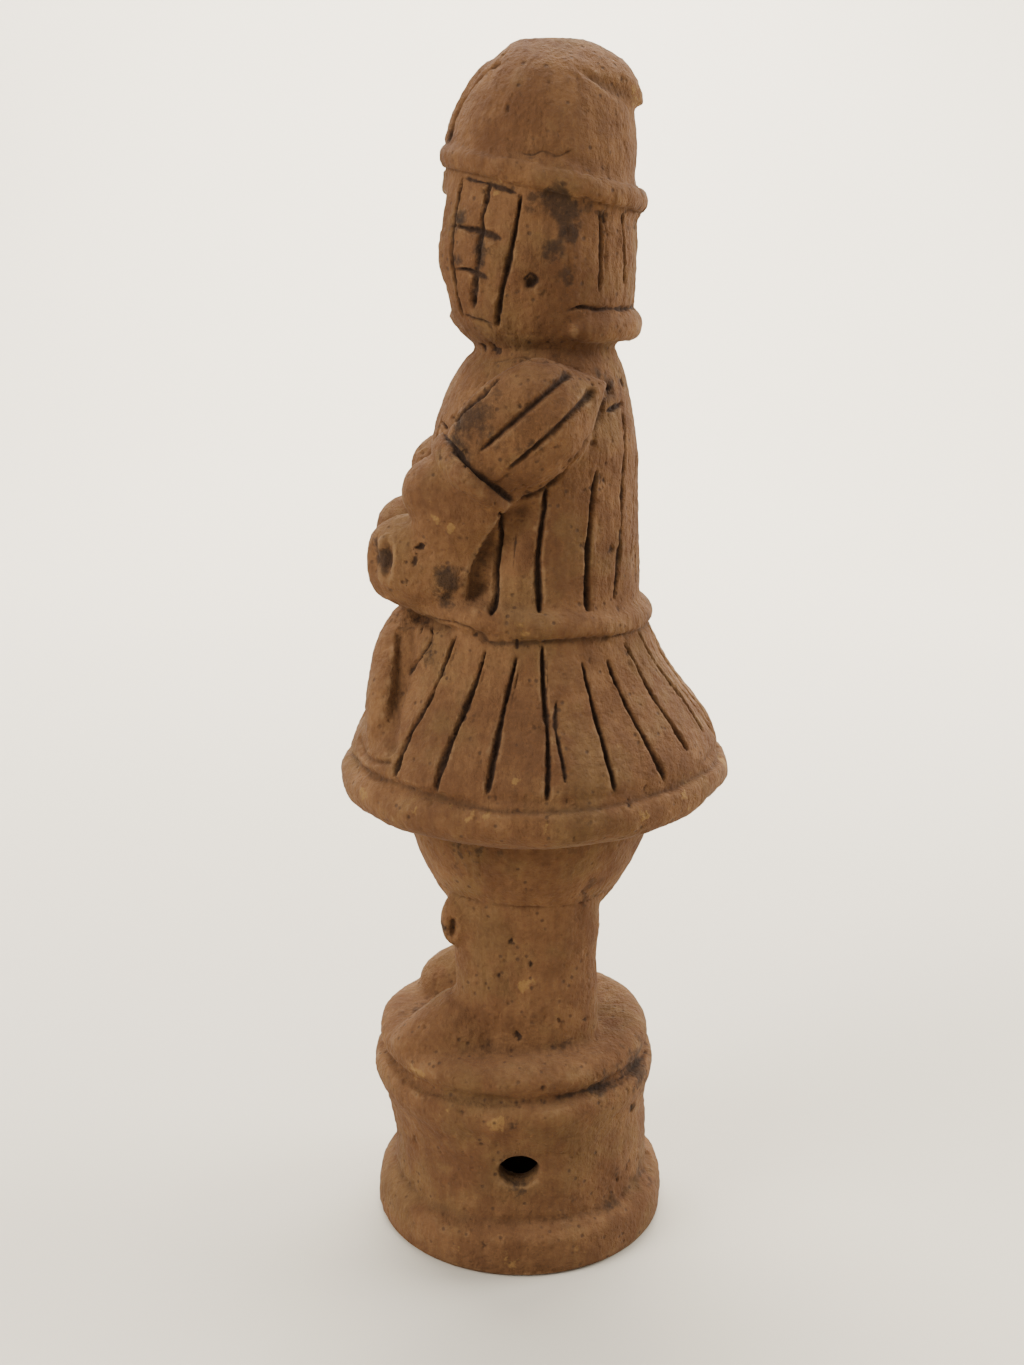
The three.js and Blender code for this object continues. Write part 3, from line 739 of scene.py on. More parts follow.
# The line under the belt is broad and soft, with the shadow of the belt's roll on the skirt painted into it.
plan_cut(round_line(belt_line), 0.85, 0.5, ragged=0.6, dark=0.55)
print("lines planned", len(planned_cuts))

# %% [markdown]
# ## Plates of the cuirass
# The body armour is plain but for upright lines at the back and sides. They start under
# the shoulders and run to the belt.

# %% Plan the body
body_lines = [
    ([[74.8, 150.2], [70.6, 145], [69.1, 139], [70, 133.8], [70.5, 131.3]], 0.68, 1.5, 0.2),
    ([[79.5, 146], [78.5, 139]], 0.3, 0.35, 0.6),
    ([[95.4, 154.2], [93, 147.2], [91.1, 140.8], [91.7, 134.2], [92, 131.8]], 0.62, 1.5, 0.2),
    ([[124, 156.6], [119.6, 148], [117.4, 140], [116.5, 131.2]], 0.65, 1.5, 0.2),
    ([[152, 166.4], [145, 154], [141, 144], [135, 132.4]], 0.55, 0.8, 0.6),
    ([[166, 158.5], [159, 148], [152, 138.8]], 0.35, 0.4, 0.5),
    ([[172, 162], [165, 146], [160, 134]], 0.3, 0.3, 0.6),
]
for stops, half_width, depth, ragged in body_lines:
    plan_cut(round_line(stops), half_width, depth, ragged)
    plan_cut(round_line(jittered(stops, 3, 1.2, mirrored=True)), half_width, depth, ragged)
plan_cut(round_line([[183, 163], [181, 150], [180, 132.5]]), 0.55, 1.1)
for angle in (-14, 3, 20):
    plan_cut(round_line([[angle, 165], [angle - 1, 158], [angle, 152]]), 0.5, 0.9)
print("lines planned", len(planned_cuts))

# %% [markdown]
# ## Shoulder guards and arms
# Three lines follow the length of each guard, and one crosses it before its rolled end.
# The guard's edge is pressed into the arm and the back, and shadow is painted under it
# where it overhangs the body. Where the arm lies on the body a line was drawn to part
# them, with the shade of the gap painted along it.

# %% Plan the arms
arm_lines = [
    ([[-15.3, 164.8], [-11, 169.1], [-6.3, 173.4]], 0.5, 0.8, 0.5, 0.9),
    ([[-13.6, 167.6], [-9.2, 172.4]], 0.3, 0.4, 0.6, 0.8),
    ([[-10.1, 160.8], [-2.3, 167.7], [5.7, 174.2]], 0.75, 1.05, 0.3, 0.8),
    ([[-5.2, 157.6], [2.9, 164.6], [10.3, 171.1]], 0.75, 1, 0.3, 0.75),
    ([[-8.2, 154.4], [-3, 158.4], [1.6, 161.8]], 0.35, 0.3, 0.6, 0.5),
    # Painted shadow under the guard where it overhangs the body.
    ([[-3.7, 151.2], [3, 154.9], [7.6, 160.3], [11.3, 166], [12.1, 168.4]], 0.6, 0.8, 0.4, 0.6),
    ([[-17.3, 164.2], [-11, 158.1], [-3.7, 151.5]], 0.55, 1.1, 0.2, 1),
    # Painted shade in the gap where the arm stands free of the body.
    ([[-6, 149], [-8, 146.2], [-9.7, 143.2], [-11, 140.4], [-11.9, 137.6]], 0.5, 0.3, 0.4, 0.9),
    ([[-15.6, 138], [-15, 136.4], [-16.2, 133]], 0.6, 0.35, 0.8, 1),
]
for stops, half_width, depth, ragged, dark in arm_lines:
    plan_cut(side_line(stops), half_width, depth, ragged, dark=dark)
    moved = np.array(stops) + np.random.default_rng(len(planned_cuts)).uniform(-0.6, 0.6, 2)
    plan_cut(side_line(moved, -1), half_width, depth, ragged, dark=dark)
plan_cut(side_line([[-8, 175], [-3, 176], [3, 175.6], [9, 173.4]]), 0.35, 0.35, ragged=0.7, dark=0.6)
plan_cut(side_line([[12.5, 166.4], [16, 167.4]]), 0.6, 0.9)
plan_cut(side_line([[-25.4, 146.6], [-22.4, 147.4], [-18.6, 147], [-15.6, 145.4]]), 0.9, 0.3, dark=0)
plan_cut(side_line([[-5.2, 131.2], [-1, 128]]), 0.35, 0.25, dark=0)
print("lines planned", len(planned_cuts))

# %% [markdown]
# The sword's edge is a soft valley between it and the pleats, with shade painted into it.
# Shadow is also painted under the sword's end, above the rim.

# %% Plan the sword
sword_edge = [[-25.2, 125.5], [-25.1, 121], [-25.2, 116], [-25.9, 111], [-26.4, 107], [-25.9, 105]]
plan_cut(side_line(sword_edge), 1.5, 1, ragged=0.2, dark=0.35)
plan_cut(round_line([[-6, 126], [-2, 116], [3, 106]]), 0.9, 0.7, ragged=0.2, dark=0.6)
# Painted shadow under the sword's end, above the rim.
plan_cut(round_line([[41, 103.8], [31.9, 102.9], [23.5, 103], [14, 104.4]]), 0.9, 0.7, ragged=0.3, dark=0.4)
print("lines planned", len(planned_cuts))

# %% [markdown]
# ## Lacing on the cheek guards, plates of the neck guard
# Each cheek guard carries a grid of crossing lines. Its rear edge is one long line. The
# neck guard behind it has upright lines only, and a ledge above its roll.

# %% Plan the head
cheek_lines = [
    ([[39.4, 206.8], [36.8, 198.4], [36.6, 188.8], [35.8, 182.6]], 0.5, 1, 0.4, 1),
    ([[62.3, 206.1], [59, 200.3], [56.5, 192.8], [47.8, 184.1]], 0.55, 0.95, 0.6, 1),
    ([[81.4, 203.8], [76.5, 194.8], [68.8, 186.2], [63.8, 181.2]], 0.6, 1.2, 0.35, 1),
    ([[39.8, 206.5], [63.5, 205.2], [79.1, 203.8]], 0.45, 0.7, 0.6, 1),
    ([[37.4, 198.6], [58.2, 197.5], [71.9, 196.2]], 0.55, 0.95, 0.4, 1),
    ([[37.7, 191.2], [50.1, 190.9], [62.9, 189.5]], 0.5, 0.8, 0.5, 1),
    ([[34, 183.4], [52.1, 182.3], [62.6, 181.8]], 0.4, 0.45, 0.6, 0.8),
]
neck_lines = [
    ([[127, 201], [127.5, 194], [128, 187.2]], 0.5, 0.7, 0.4, 0.7),
    ([[131, 199], [131.5, 190]], 0.3, 0.3, 0.6, 0.5),
    ([[144.5, 201], [147, 194.5], [150, 188.2]], 0.5, 0.9, 0.5, 1),
    ([[107, 200], [108, 188]], 0.4, 0.25, 0.6, 0.4),
    ([[107, 184], [113, 184.7], [130, 184.4], [160, 184.1], [181, 184.2]], 0.6, 0.7, 0.7, 0.8),
]
for stops, half_width, depth, ragged, dark in cheek_lines + neck_lines:
    plan_cut(round_line(stops), half_width, depth, ragged, dark=dark)
    plan_cut(round_line(jittered(stops, 1.6, 0.5, mirrored=True)), half_width, depth, ragged, dark=dark)
plan_cut(round_line([[174, 201], [175, 188]]), 0.5, 0.8)
# Painted shade under the helmet's rolled rim.
rim_under = [[angle, 204.3 + 3.9 * math.cos(math.radians(angle))] for angle in range(-180, 181, 12)]
plan_cut(round_line(rim_under), 0.6, 0.45, ragged=0.5, fade=0.1, dark=0.35)
rim_over = [[angle, 208.9 + 3.7 * math.cos(math.radians(angle))] for angle in range(-180, 181, 12)]
plan_cut(round_line(rim_over), 0.9, 0.3, ragged=0.5, fade=0.1, dark=0)
print("lines planned", len(planned_cuts))

# %% [markdown]
# The face is pressed in with the flat and the tip of a stick: two eyes and a mouth. Lines
# are also drawn on both sides of the keel, where it meets the helmet, and under the plate.

# %% Plan the face and the helmet
keel_line = [(9.5, 212.4), (9.6, 215.5), (11.5, 218.9), (21, 222.2), (30, 224.2), (48.6, 225.6)]
plate_edge = [(118, 224.6), (129, 223.4), (140, 222), (150, 221), (161, 220.3), (174, 219.5)]
for side in (1, -1):
    eye = [[side * 7.5, 196.8], [side * 13, 197.1], [side * 18, 196.7]]
    plan_cut(round_line(eye), 0.6, 0.9, ragged=0.1, fade=1)
    keel_side = [[side * angle, height] for angle, height in keel_line]
    plan_cut(round_line(keel_side), 0.6, 1, ragged=0.2)
    # Under the plate's lip the line is broad and soft, with shade painted into it.
    plate_side = [[side * angle, height] for angle, height in plate_edge]
    plan_cut(round_line(plate_side), 1.6, 0.8, ragged=0.2, fade=5, dark=0.4)
plan_cut(round_line([[-8, 187.8], [0, 187.4], [8, 187.8]]), 0.55, 0.8, ragged=0.1, fade=1)
helmet_crack = [[-3.7, 210.9], [-1, 210.1], [1.2, 210.7], [3.4, 209.9], [6.3, 211.2]]
plan_cut(side_line(helmet_crack), 0.28, 0.3, ragged=0.8)
plan_cut(side_line([[-6.5, 210.2], [-3.2, 209.6], [0.4, 209.9]]), 0.25, 0.22, ragged=0.8)
print("lines planned", len(planned_cuts))

# %% [markdown]
# ## Legs, drum and the rest
# The string of the trouser ties is a shallow line under the bowl of the trousers. The drum
# has a drawn groove over its band and another over its flange, with shade painted into both.

# %% Plan the legs and the drum
tie_line = [[angle, 73.2 + 0.8 * math.cos(math.radians(angle - 40))] for angle in range(-180, 181, 12)]
plan_cut(round_line(tie_line), 0.6, 0.35, ragged=0.8, fade=0.1, dark=0.45)
band_groove = [[angle, 36.7 + 0.3 * math.sin(angle / 9)] for angle in range(-180, 181, 10)]
plan_cut(round_line(band_groove), 1.2, 0.6, ragged=0.4, fade=0.1, dark=0.3)
second_stroke = [[98, 36.9], [116, 37], [137, 36.5], [155, 36.4], [172, 36]]
plan_cut(round_line(second_stroke), 0.5, 0.5, ragged=0.9, dark=0.8)
flange_groove = [[angle, 10.6 + 0.3 * math.sin(angle / 11)] for angle in range(-180, 181, 10)]
plan_cut(round_line(flange_groove), 1.4, 0.5, ragged=0.5, fade=0.1, dark=0.35)
plan_cut(round_line([[143, 29.8], [146, 27.2]]), 0.45, 0.5, fade=0.6)
wall_strokes = [(91, 25, 18), (94, 24.2, 12), (99, 26.6, 10), (98, 28.6, 16), (93, 25.8, 7), (104, 23.6, 9)]
for angle, height, length in wall_strokes:
    stroke = [[angle, height], [angle + length / 2, height - 0.4], [angle + length, height - 0.9]]
    plan_cut(round_line(stroke), 0.4, 0.22, ragged=1, dark=0.5)
print("lines planned", len(planned_cuts))

# %% [markdown]
# ## Scratches
# The stick and the grit under it also left short fine scratches. They run up and down on
# the figure and level on the drum. Their places come from one seeded random generator.

# %% Plan the scratches
scratch_random = np.random.default_rng(31)
scratch_count = 230
for _ in range(scratch_count):
    angle = scratch_random.uniform(-180, 180)
    low = scratch_random.uniform(14, 222)
    length = scratch_random.uniform(2, 8)
    lean = scratch_random.uniform(-4, 4)
    if low < 41:
        stops = [[angle, low], [angle + 3 * length, low + 0.05 * lean]]
    else:
        stops = [[angle, low], [angle + lean, low + length]]
    depth = scratch_random.uniform(0.08, 0.24)
    plan_cut(round_line(stops), scratch_random.uniform(0.16, 0.3), depth, ragged=0.7, dark=depth * 2)
print("lines planned", len(planned_cuts))

# %% [markdown]
# ## Finer skin where the lines go
# The skin has a corner about every half millimetre, and a carved line is hardly wider. So
# the faces near the lines are selected and subdivided once. The rest stays as it is.

# %% Refine the skin round the lines
def tree_of(points):
    """A search tree that finds the nearest of the points."""
    tree = KDTree(len(points))
    for index, point in enumerate(points):
        tree.insert(point, index)
    tree.balance()
    return tree

line_tree = tree_of(np.vstack([cut[0] for cut in planned_cuts]))
line_reach = 1.15
near_line = np.array([line_tree.find(corner)[2] < line_reach for corner in skin])
bpy.ops.object.mode_set(mode="EDIT")
bpy.ops.mesh.select_all(action="DESELECT")
bpy.ops.mesh.select_mode(type="VERT")
bpy.ops.object.mode_set(mode="OBJECT")
clay.data.vertices.foreach_set("select", near_line)
bpy.ops.object.mode_set(mode="EDIT")
bpy.ops.mesh.select_mode(type="FACE")
bpy.ops.mesh.subdivide(number_cuts=1)
bpy.ops.mesh.select_mode(type="VERT")
bpy.ops.object.mode_set(mode="OBJECT")
skin = read_corners(clay.data)
edges = read_edges(clay.data)
outward = read_outward(clay.data, edges, 5)
corner_count = len(skin)
print("corners after refining", corner_count)

# %% [markdown]
# ## How a line is cut
# A stick pulled through damp clay leaves a V with a ragged floor and pushes a little clay
# up along both edges. The depth of every line is kept in one array, and where two lines
# cross the deeper one wins, so that a crossing isn't cut twice.

# %% Cut the planned lines
cut_depth = np.zeros(corner_count)
cut_dark = np.zeros(corner_count)
raised_edge = np.zeros(corner_count)

def nearest_spots(corners, points):
    """For each corner, the number of the nearest point and how far it is."""
    which = np.empty(len(corners), int)
    gap = np.empty(len(corners))
    batch = 4000
    for first in range(0, len(corners), batch):
        apart = np.linalg.norm(corners[first:first + batch, None] - points[None], axis=2)
        which[first:first + batch] = apart.argmin(axis=1)
        gap[first:first + batch] = apart.min(axis=1)
    return which, gap

run_length = 30
for seed, (points, spots, half_width, depth, ragged, fade, dark) in enumerate(planned_cuts):
    reach_of_cut = 3 * half_width + 0.4
    inside = (skin > points.min(0) - reach_of_cut) & (skin < points.max(0) + reach_of_cut)
    near = np.flatnonzero(inside.all(axis=1))
    if len(near) and len(points) > 40:
        middles = [points[first:first + run_length].mean(0) for first in range(0, len(points), run_length)]
        parts = [near[(np.abs(skin[near] - middle) < 7 + reach_of_cut).all(axis=1)] for middle in middles]
        near = np.unique(np.concatenate(parts))
    if not len(near):
        continue
    which, gap = nearest_spots(skin[near], points)
    along = spots[which]
    ends = np.clip(np.minimum(along, spots[-1] - along) / fade, 0, 1) ** 0.6
    line_place = np.stack([along, along * 0, along * 0], axis=1)
    width = half_width * (1 + ragged * uneven(line_place, 2.2, 1000 + seed)) * (0.55 + 0.45 * ends)
    if fade > 0.5:
        width = width * (0.72 + 0.65 * along / spots[-1])
    gap = gap + ragged * 0.5 * half_width * uneven(skin[near], 0.8, 3000 + seed)
    floor = depth * ends * (1 + ragged * uneven(skin[near], 1.8, 5000 + seed))
    shape = np.clip(1 - np.abs(gap) / width.clip(0.05), 0, 1) ** 0.75
    cut = floor * shape
    # The darkness along the line is painted shade, with some soot.
    darkness = dark * np.clip(1.25 * shape * ends, 0, 1) * min(1, depth / 0.5)
    cut_dark[near] = np.maximum(cut_dark[near], darkness)
    cut_depth[near] = np.maximum(cut_depth[near], cut)
    beside = np.exp(-((np.abs(gap) - 1.5 * width) / (0.6 * width.clip(0.05))) ** 2)
    lifted = 0.13 * depth * ends * beside * (0.6 + 0.8 * uneven(skin[near], 1.3, 7000 + seed)).clip(0, 2)
    raised_edge[near] = np.maximum(raised_edge[near], lifted)
print("deepest cut in mm", round(float(cut_depth.max()), 2), "corners cut", int((cut_depth > 0.05).sum()))

# %% [markdown]
# ## Pits
# The clay is coarse. Where grit was dragged out or a bubble opened, it has small pits.
# They are scattered over the whole figure by a fixed seed, denser on the shoulder guards,
# with the few large ones that show listed one by one. The front end of each
# fist is pressed in with the tip of the stick.

# %% Press the pits
skin_tree = tree_of(skin)
pit_depth = np.zeros(corner_count)
pit_random = np.random.default_rng(77)

def pit(place, radius, depth, stretch=1.0):
    """A small ragged hole at a place, longer than wide by the stretch."""
    found = [index for _, index, _ in skin_tree.find_range(Vector(place), radius * 1.4 * max(stretch, 1))]
    if not found:
        return
    apart = skin[found] - np.array(place)
    apart[:, 2] /= stretch
    gap = np.linalg.norm(apart, axis=1) / radius
    gap = gap * (1 + 0.75 * uneven(skin[found], 0.55, int(pit_random.integers(9000))))
    hole = depth * np.clip(1.15 - gap ** 2, 0, 1)
    pit_depth[found] = np.maximum(pit_depth[found], hole)

outside = np.flatnonzero(~in_hollow(skin) & (skin[:, 2] > 2))
pit_count = 700
for index in pit_random.choice(outside, pit_count, replace=False):
    size = 0.22 + 0.34 * pit_random.random() ** 2
    pit(skin[index], size, size * pit_random.uniform(0.4, 0.9), pit_random.uniform(0.8, 2.4))
on_guards = np.flatnonzero((skin[:, 2] > 150) & (skin[:, 2] < 176) & (np.abs(skin[:, 0]) > 12))
guard_pit_count = 150
for index in pit_random.choice(on_guards, guard_pit_count, replace=False):
    size = pit_random.uniform(0.25, 0.6)
    pit(skin[index], size, size * 0.6, pit_random.uniform(0.8, 1.5))
shown_pits = [
    (17.8, -1, 189.1, 1, 1.1), (17.9, -0.3, 189.9, 0.7, 0.9), (10.7, 12.8, 170.4, 0.9, 0.8),
    (5.4, 15.7, 170.8, 0.8, 0.7), (7.1, -9.4, 177.3, 0.7, 0.7), (9.6, -7.4, 177.1, 0.9, 0.6),
    (18.8, -20.6, 142.9, 0.8, 0.7), (18.2, -4.4, 66.3, 0.6, 0.6), (18.6, -0.9, 61.9, 0.6, 0.6),
    (17.7, -6.8, 59.1, 0.5, 0.5), (14.6, 10.2, 48.5, 0.6, 0.6), (18.4, -3, 46.6, 0.7, 0.6),
    (17.2, -2, 163, 0.6, 0.6),
]
for x, y, z, radius, depth in shown_pits:
    on_skin = skin_tree.find(Vector((x, y, z)))[0]
    pit(on_skin, radius * 0.9, depth, 1.4)
fist_middle = (16.5, -26.9, 140.4)
from_fist = np.stack([np.abs(skin[:, 0]), skin[:, 1], skin[:, 2]], axis=1) - fist_middle
fist_gap = np.linalg.norm(from_fist / (1.9, 1.5, 3.3), axis=1) * (1 + 0.12 * uneven(skin, 1.8, 9))
fist_depth = 1.7
fist_dent = fist_depth * np.clip(1.05 - fist_gap ** 2, 0, 1)
fist_rim = 0.3 * np.exp(-((fist_gap - 1.35) / 0.25) ** 2)
print("corners in pits", int((pit_depth > 0.03).sum()), "in the fists", int((fist_dent > 0.1).sum()))

# %% [markdown]
# ## Marks of the fingers and the stick
# Damp clay keeps the marks of smoothing: fine upright drags on body, skirt and legs, and
# level ones on the drum, which was turned under the hand. Each is an irregularity that
# is stretched along the direction of the stroke.

# %% Drag marks
height = skin[:, 2]
around = angle_round(skin)
spread = np.hypot(skin[:, 0], skin[:, 1]).clip(4)
upright = np.stack([np.radians(around) * 24, height / 9, spread / 6], axis=1)
level = np.stack([around / 34, height / 0.95, spread / 6], axis=1)
drag_upright = 0.07 * uneven(upright, 0.8, 11) + 0.08 * uneven(upright, 1.9, 12)
drag_level = 0.09 * uneven(level, 1, 13) + 0.08 * uneven(level, 2.1, 14)
drum_top = 44
level_share = np.clip((drum_top - height) / 2, 0, 1)
grain = 0.085 * uneven(skin, 1.0, 15) + 0.06 * uneven(skin, 0.6, 16)
torn = -0.32 * np.clip(uneven(skin, 2.4, 17) + 0.6 * uneven(skin, 1.1, 18) - 0.62, 0, 1)
crumbs = 0.34 * np.clip(uneven(skin, 1.7, 19) + 0.5 * uneven(skin, 0.8, 20) - 0.78, 0, 1)
marks = drag_upright * (1 - level_share) + drag_level * level_share + grain + torn + crumbs
marks *= ~in_hollow(skin) & (outward[:, 2] > -0.97)
pushed = marks + raised_edge + fist_rim - fist_dent - np.maximum(cut_depth, pit_depth)
skin = skin + outward * pushed[:, None]
write_skin(skin)
print("largest drag mark in mm", round(float(np.abs(marks).max()), 2))

# %% [markdown]
# ## What the colour needs to know
# Shade is painted into what lies deeper than its surroundings and into the carved lines
# and pits, together with some soot, and handling rubs what stands out pale. Both can be
# measured: the skin is compared with a smoothed copy of itself. The soot stains, the
# places of painted shade and the rubbed places are marked by a place and a size.

# %% Measure hollows, edges and stains
def standing_out(rounds):
    """How far in mm each corner stands out of the skin, smoothed by that many rounds."""
    return ((skin - averaged(skin, edges, rounds)) * outward).sum(axis=1)

fine_relief = standing_out(8)
broad_relief = standing_out(50)
# groove is the darkness painted in the lines and pits, for shade and soot.
groove = np.maximum(cut_dark, 0.8 * np.clip(pit_depth / 0.4, 0, 1))
# hollow is the shade painted into what lies deeper than its surroundings.
hollow = np.clip(-fine_relief / 0.22, 0, 1) * 0.5 + np.clip(-broad_relief / 0.8, 0, 1) * 0.7
edge = np.clip(fine_relief / 0.16, 0, 1) * 0.5 + np.clip((broad_relief - 0.15) / 0.7, 0, 1) * 0.7

def marked(spots, seed):
    """A soft ragged mark, from 0 to 1, round each [x, y, z, size, strength] spot."""
    mark = np.zeros(corner_count)
    ragged = 1 + 0.35 * uneven(skin, 3, seed) + 0.25 * uneven(skin, 1.1, seed + 1)
    ragged += 0.35 * uneven(skin * (1, 1, 0.22), 0.9, seed + 2)
    for x, y, z, size, strength in spots:
        apart = np.linalg.norm(skin - (x, y, z), axis=1) * ragged / size
        mark = np.maximum(mark, strength * np.clip(1.3 - apart, 0, 1))
    return np.clip(mark, 0, 1)

# These spots are partly soot stains, as on the head, the keel and the shoulder guards, and partly painted
# shade: behind and under the arms, under the hands, under the skirt's rim and where the legs meet the drum.
soot_and_shade_spots = [
    (17.4, 3.4, 202.8, 3.4, 1.6), (17.4, 5, 201, 3, 1.5), (17.2, 5.2, 197.8, 2.6, 1.2),
    (18, 3.4, 194.6, 2.4, 0.9), (17.4, 4.9, 190, 2.2, 0.7), (17.9, -0.6, 189.4, 1.3, 1.4),
    (12.4, -13.2, 200, 2, 1.1), (15, -9.5, 194.4, 2.2, 1.1), (11.8, -13.6, 192.8, 1.8, 1.1),
    (15.8, 8.6, 201.8, 2.6, 0.8), (14, 10.8, 200.6, 2.6, 0.7), (8, 16.8, 200, 4, 0.5),
    (2.6, -15.4, 213.6, 2.2, 1), (10.7, 12.8, 170.4, 4, 0.9), (23.5, -11, 166, 7, 0.9),
    (22, -13, 162, 5, 0.8), (24.5, -3, 162.5, 5, 0.6), (21.5, 4, 173, 4, 0.6), (17, -11, 170, 5, 0.8),
    (19, -17, 147, 4, 0.4), (20.2, -15.8, 137.3, 3.6, 1), (18.4, -16.3, 132.9, 3, 0.9),
    (18, -9, 142, 3.4, 0.5), (18, -10, 137, 3.6, 0.55), (15.4, -27.2, 140.4, 2.6, 1.4),
    (6, -24, 128, 6, 0.6), (17, -20, 122, 3.4, 0.7), (25, -12.6, 116, 2.6, 0.8),
    (19.3, 13.1, 37.6, 5, 0.9), (12.1, 20.4, 35.9, 6, 1), (19.3, 15.9, 11, 4, 0.5),
    (8.9, 23.2, 10.3, 5, 0.6), (24, 8, 12, 5, 0.4), (18.5, 6, 44, 5, 0.5), (17.5, -9, 44, 4, 0.4),
    (17.5, 7, 89.5, 8, 0.5), (20, -12, 88.5, 8, 0.6), (14, 19.6, 28.4, 1.6, 0.9),
    (17.2, 16.6, 16, 1.1, 1.4), (28.1, -4.3, 32.7, 1.3, 1.1), (25.2, -3.4, 17.4, 2.4, 1),
    (15, 10, 75, 5, 0.5), (13.2, -17, 68, 2.4, 1), (-19, 5, 200, 6, 0.7), (-22, -9, 165, 8, 0.6),
    (-20, 12, 37, 8, 0.7), (-18, -14, 11, 8, 0.6), (-16, 8, 44, 7, 0.5), (0, 22, 128, 8, 0.5),
    (2, 17, 202, 7, 0.6), (-20, -10, 140, 8, 0.5), (0, -22, 45, 9, 0.5), (-24, 6, 90, 9, 0.5),
    (4, 26, 37, 7, 0.6),
]
scuff_spots = [
    (35.2, -11.6, 98.2, 2.8, 1), (34.4, -3.7, 103.5, 1.6, 1), (32.5, 18.6, 97.3, 3, 0.8),
    (24.7, 28.3, 98.3, 3.4, 0.8), (8.4, 36.6, 98.7, 4, 0.8), (36, 2, 97, 2.4, 0.7),
    (30, -22, 97, 2.6, 0.7), (20, -31, 97, 3, 0.7), (21.9, -17.3, 148.5, 1.8, 1),
    (22, -15, 147.2, 1.4, 1), (22.6, -5.1, 131.6, 1.2, 1), (23.2, -3.3, 130, 1.2, 1),
    (23.8, -1.7, 128.3, 1.3, 1), (28.2, -7.2, 33.2, 2, 1.1), (18.9, -23.4, 39.3, 2.6, 0.9),
    (20.6, -21.8, 39.6, 2.2, 0.9), (24.5, -18, 33.9, 2.4, 0.8), (29.3, -4.6, 4.2, 3.4, 0.7),
    (18, 14, 41, 2.6, 0.5), (15.5, -6, 204.7, 2.6, 0.6), (17.3, 14, 203, 2.6, 0.6),
    (3, 18, 221, 4, 0.8), (10, -2, 222, 3, 0.6), (19, -17.6, 158, 2.8, 0.7), (26, -6, 158, 2.8, 0.7),
    (18.6, -2, 57.7, 1.2, 1.1), (18.4, -0.4, 58.6, 1, 1), (17.5, 3, 63, 1.4, 0.9),
    (26, -12, 107, 2, 0.9), (29, -9, 109, 1.6, 0.9), (20, 20, 131, 2.6, 0.6), (25, -14, 5, 3.4, 0.5),
    (27, 8, 6, 3.4, 0.5), (17.6, -25.8, 141.4, 2.2, 0.8), (-30, -18, 98, 4, 0.8),
    (-34, 10, 98, 4, 0.7), (-14, 33, 98.5, 4, 0.7), (-26, -6, 158, 4, 0.6), (-22, -17, 148, 3, 0.6),
    (-24, -16, 34, 4, 0.7), (-12, 2, 224, 4, 0.6), (-27, 4, 6, 4, 0.5),
]
soot_and_shade = marked(soot_and_shade_spots, 41)
scuff = marked(scuff_spots, 43)
print("mean groove and hollow", round(float(groove.mean()), 3), round(float(hollow.mean()), 3))

# %% [markdown]
# The dense skin is only needed while carving. A Decimate modifier thins it where it is
# flat and keeps the lines. The measured values are then looked up from the nearest place
# of the dense skin and stored as attributes on the thinner one.

# %% Thin the skin and store the attributes
dense_tree = tree_of(skin)
most_triangles = 196000
triangle_count = sum(len(face.vertices) - 2 for face in clay.data.polygons)
apply_to_clay("DECIMATE", {"ratio": min(1, most_triangles / triangle_count)})
low, high = np.array(solid_box) / mm
thin = np.clip(read_corners(clay.data), low, high)
write_skin(thin)
nearest = np.array([dense_tree.find(point)[1] for point in thin])
for name, values in {"groove": groove, "hollow": hollow, "edge": edge, "soot_and_shade": soot_and_shade, "scuff": scuff}.items():
    attribute = clay.data.attributes.new(name, "FLOAT", "POINT")
    attribute.data.foreach_set("value", np.clip(values[nearest], 0, 1).astype(np.float32))
bpy.ops.object.select_all(action="DESELECT")
clay.select_set(True)
bpy.ops.object.shade_smooth()
clay.data.update()
print("triangles kept", sum(len(face.vertices) - 2 for face in clay.data.polygons))

# %% [markdown]
# ## Shader sums in Python
# The colour is worked out by many small sums on textures. Wired by hand they are hard to
# read, so a small class stands for one output of a node and turns + and * into Math
# nodes. Every other node comes from the one method `node`.

# %% A socket that can be used in sums
class Wire:
    """One output socket, in a material that is being built."""

    def __init__(self, finish, socket):
        self.finish = finish
        self.socket = socket

    def sum_with(self, operation, first, second):
        return self.finish.node("ShaderNodeMath", {"operation": operation}, {0: first, 1: second})["Value"]

    def __add__(self, other):
        return self.sum_with("ADD", self, other)

    def __radd__(self, other):
        return self.sum_with("ADD", other, self)

    def __sub__(self, other):
        return self.sum_with("SUBTRACT", self, other)

    def __rsub__(self, other):
        return self.sum_with("SUBTRACT", other, self)

    def __mul__(self, other):
        return self.sum_with("MULTIPLY", self, other)

    def __rmul__(self, other):
        return self.sum_with("MULTIPLY", other, self)

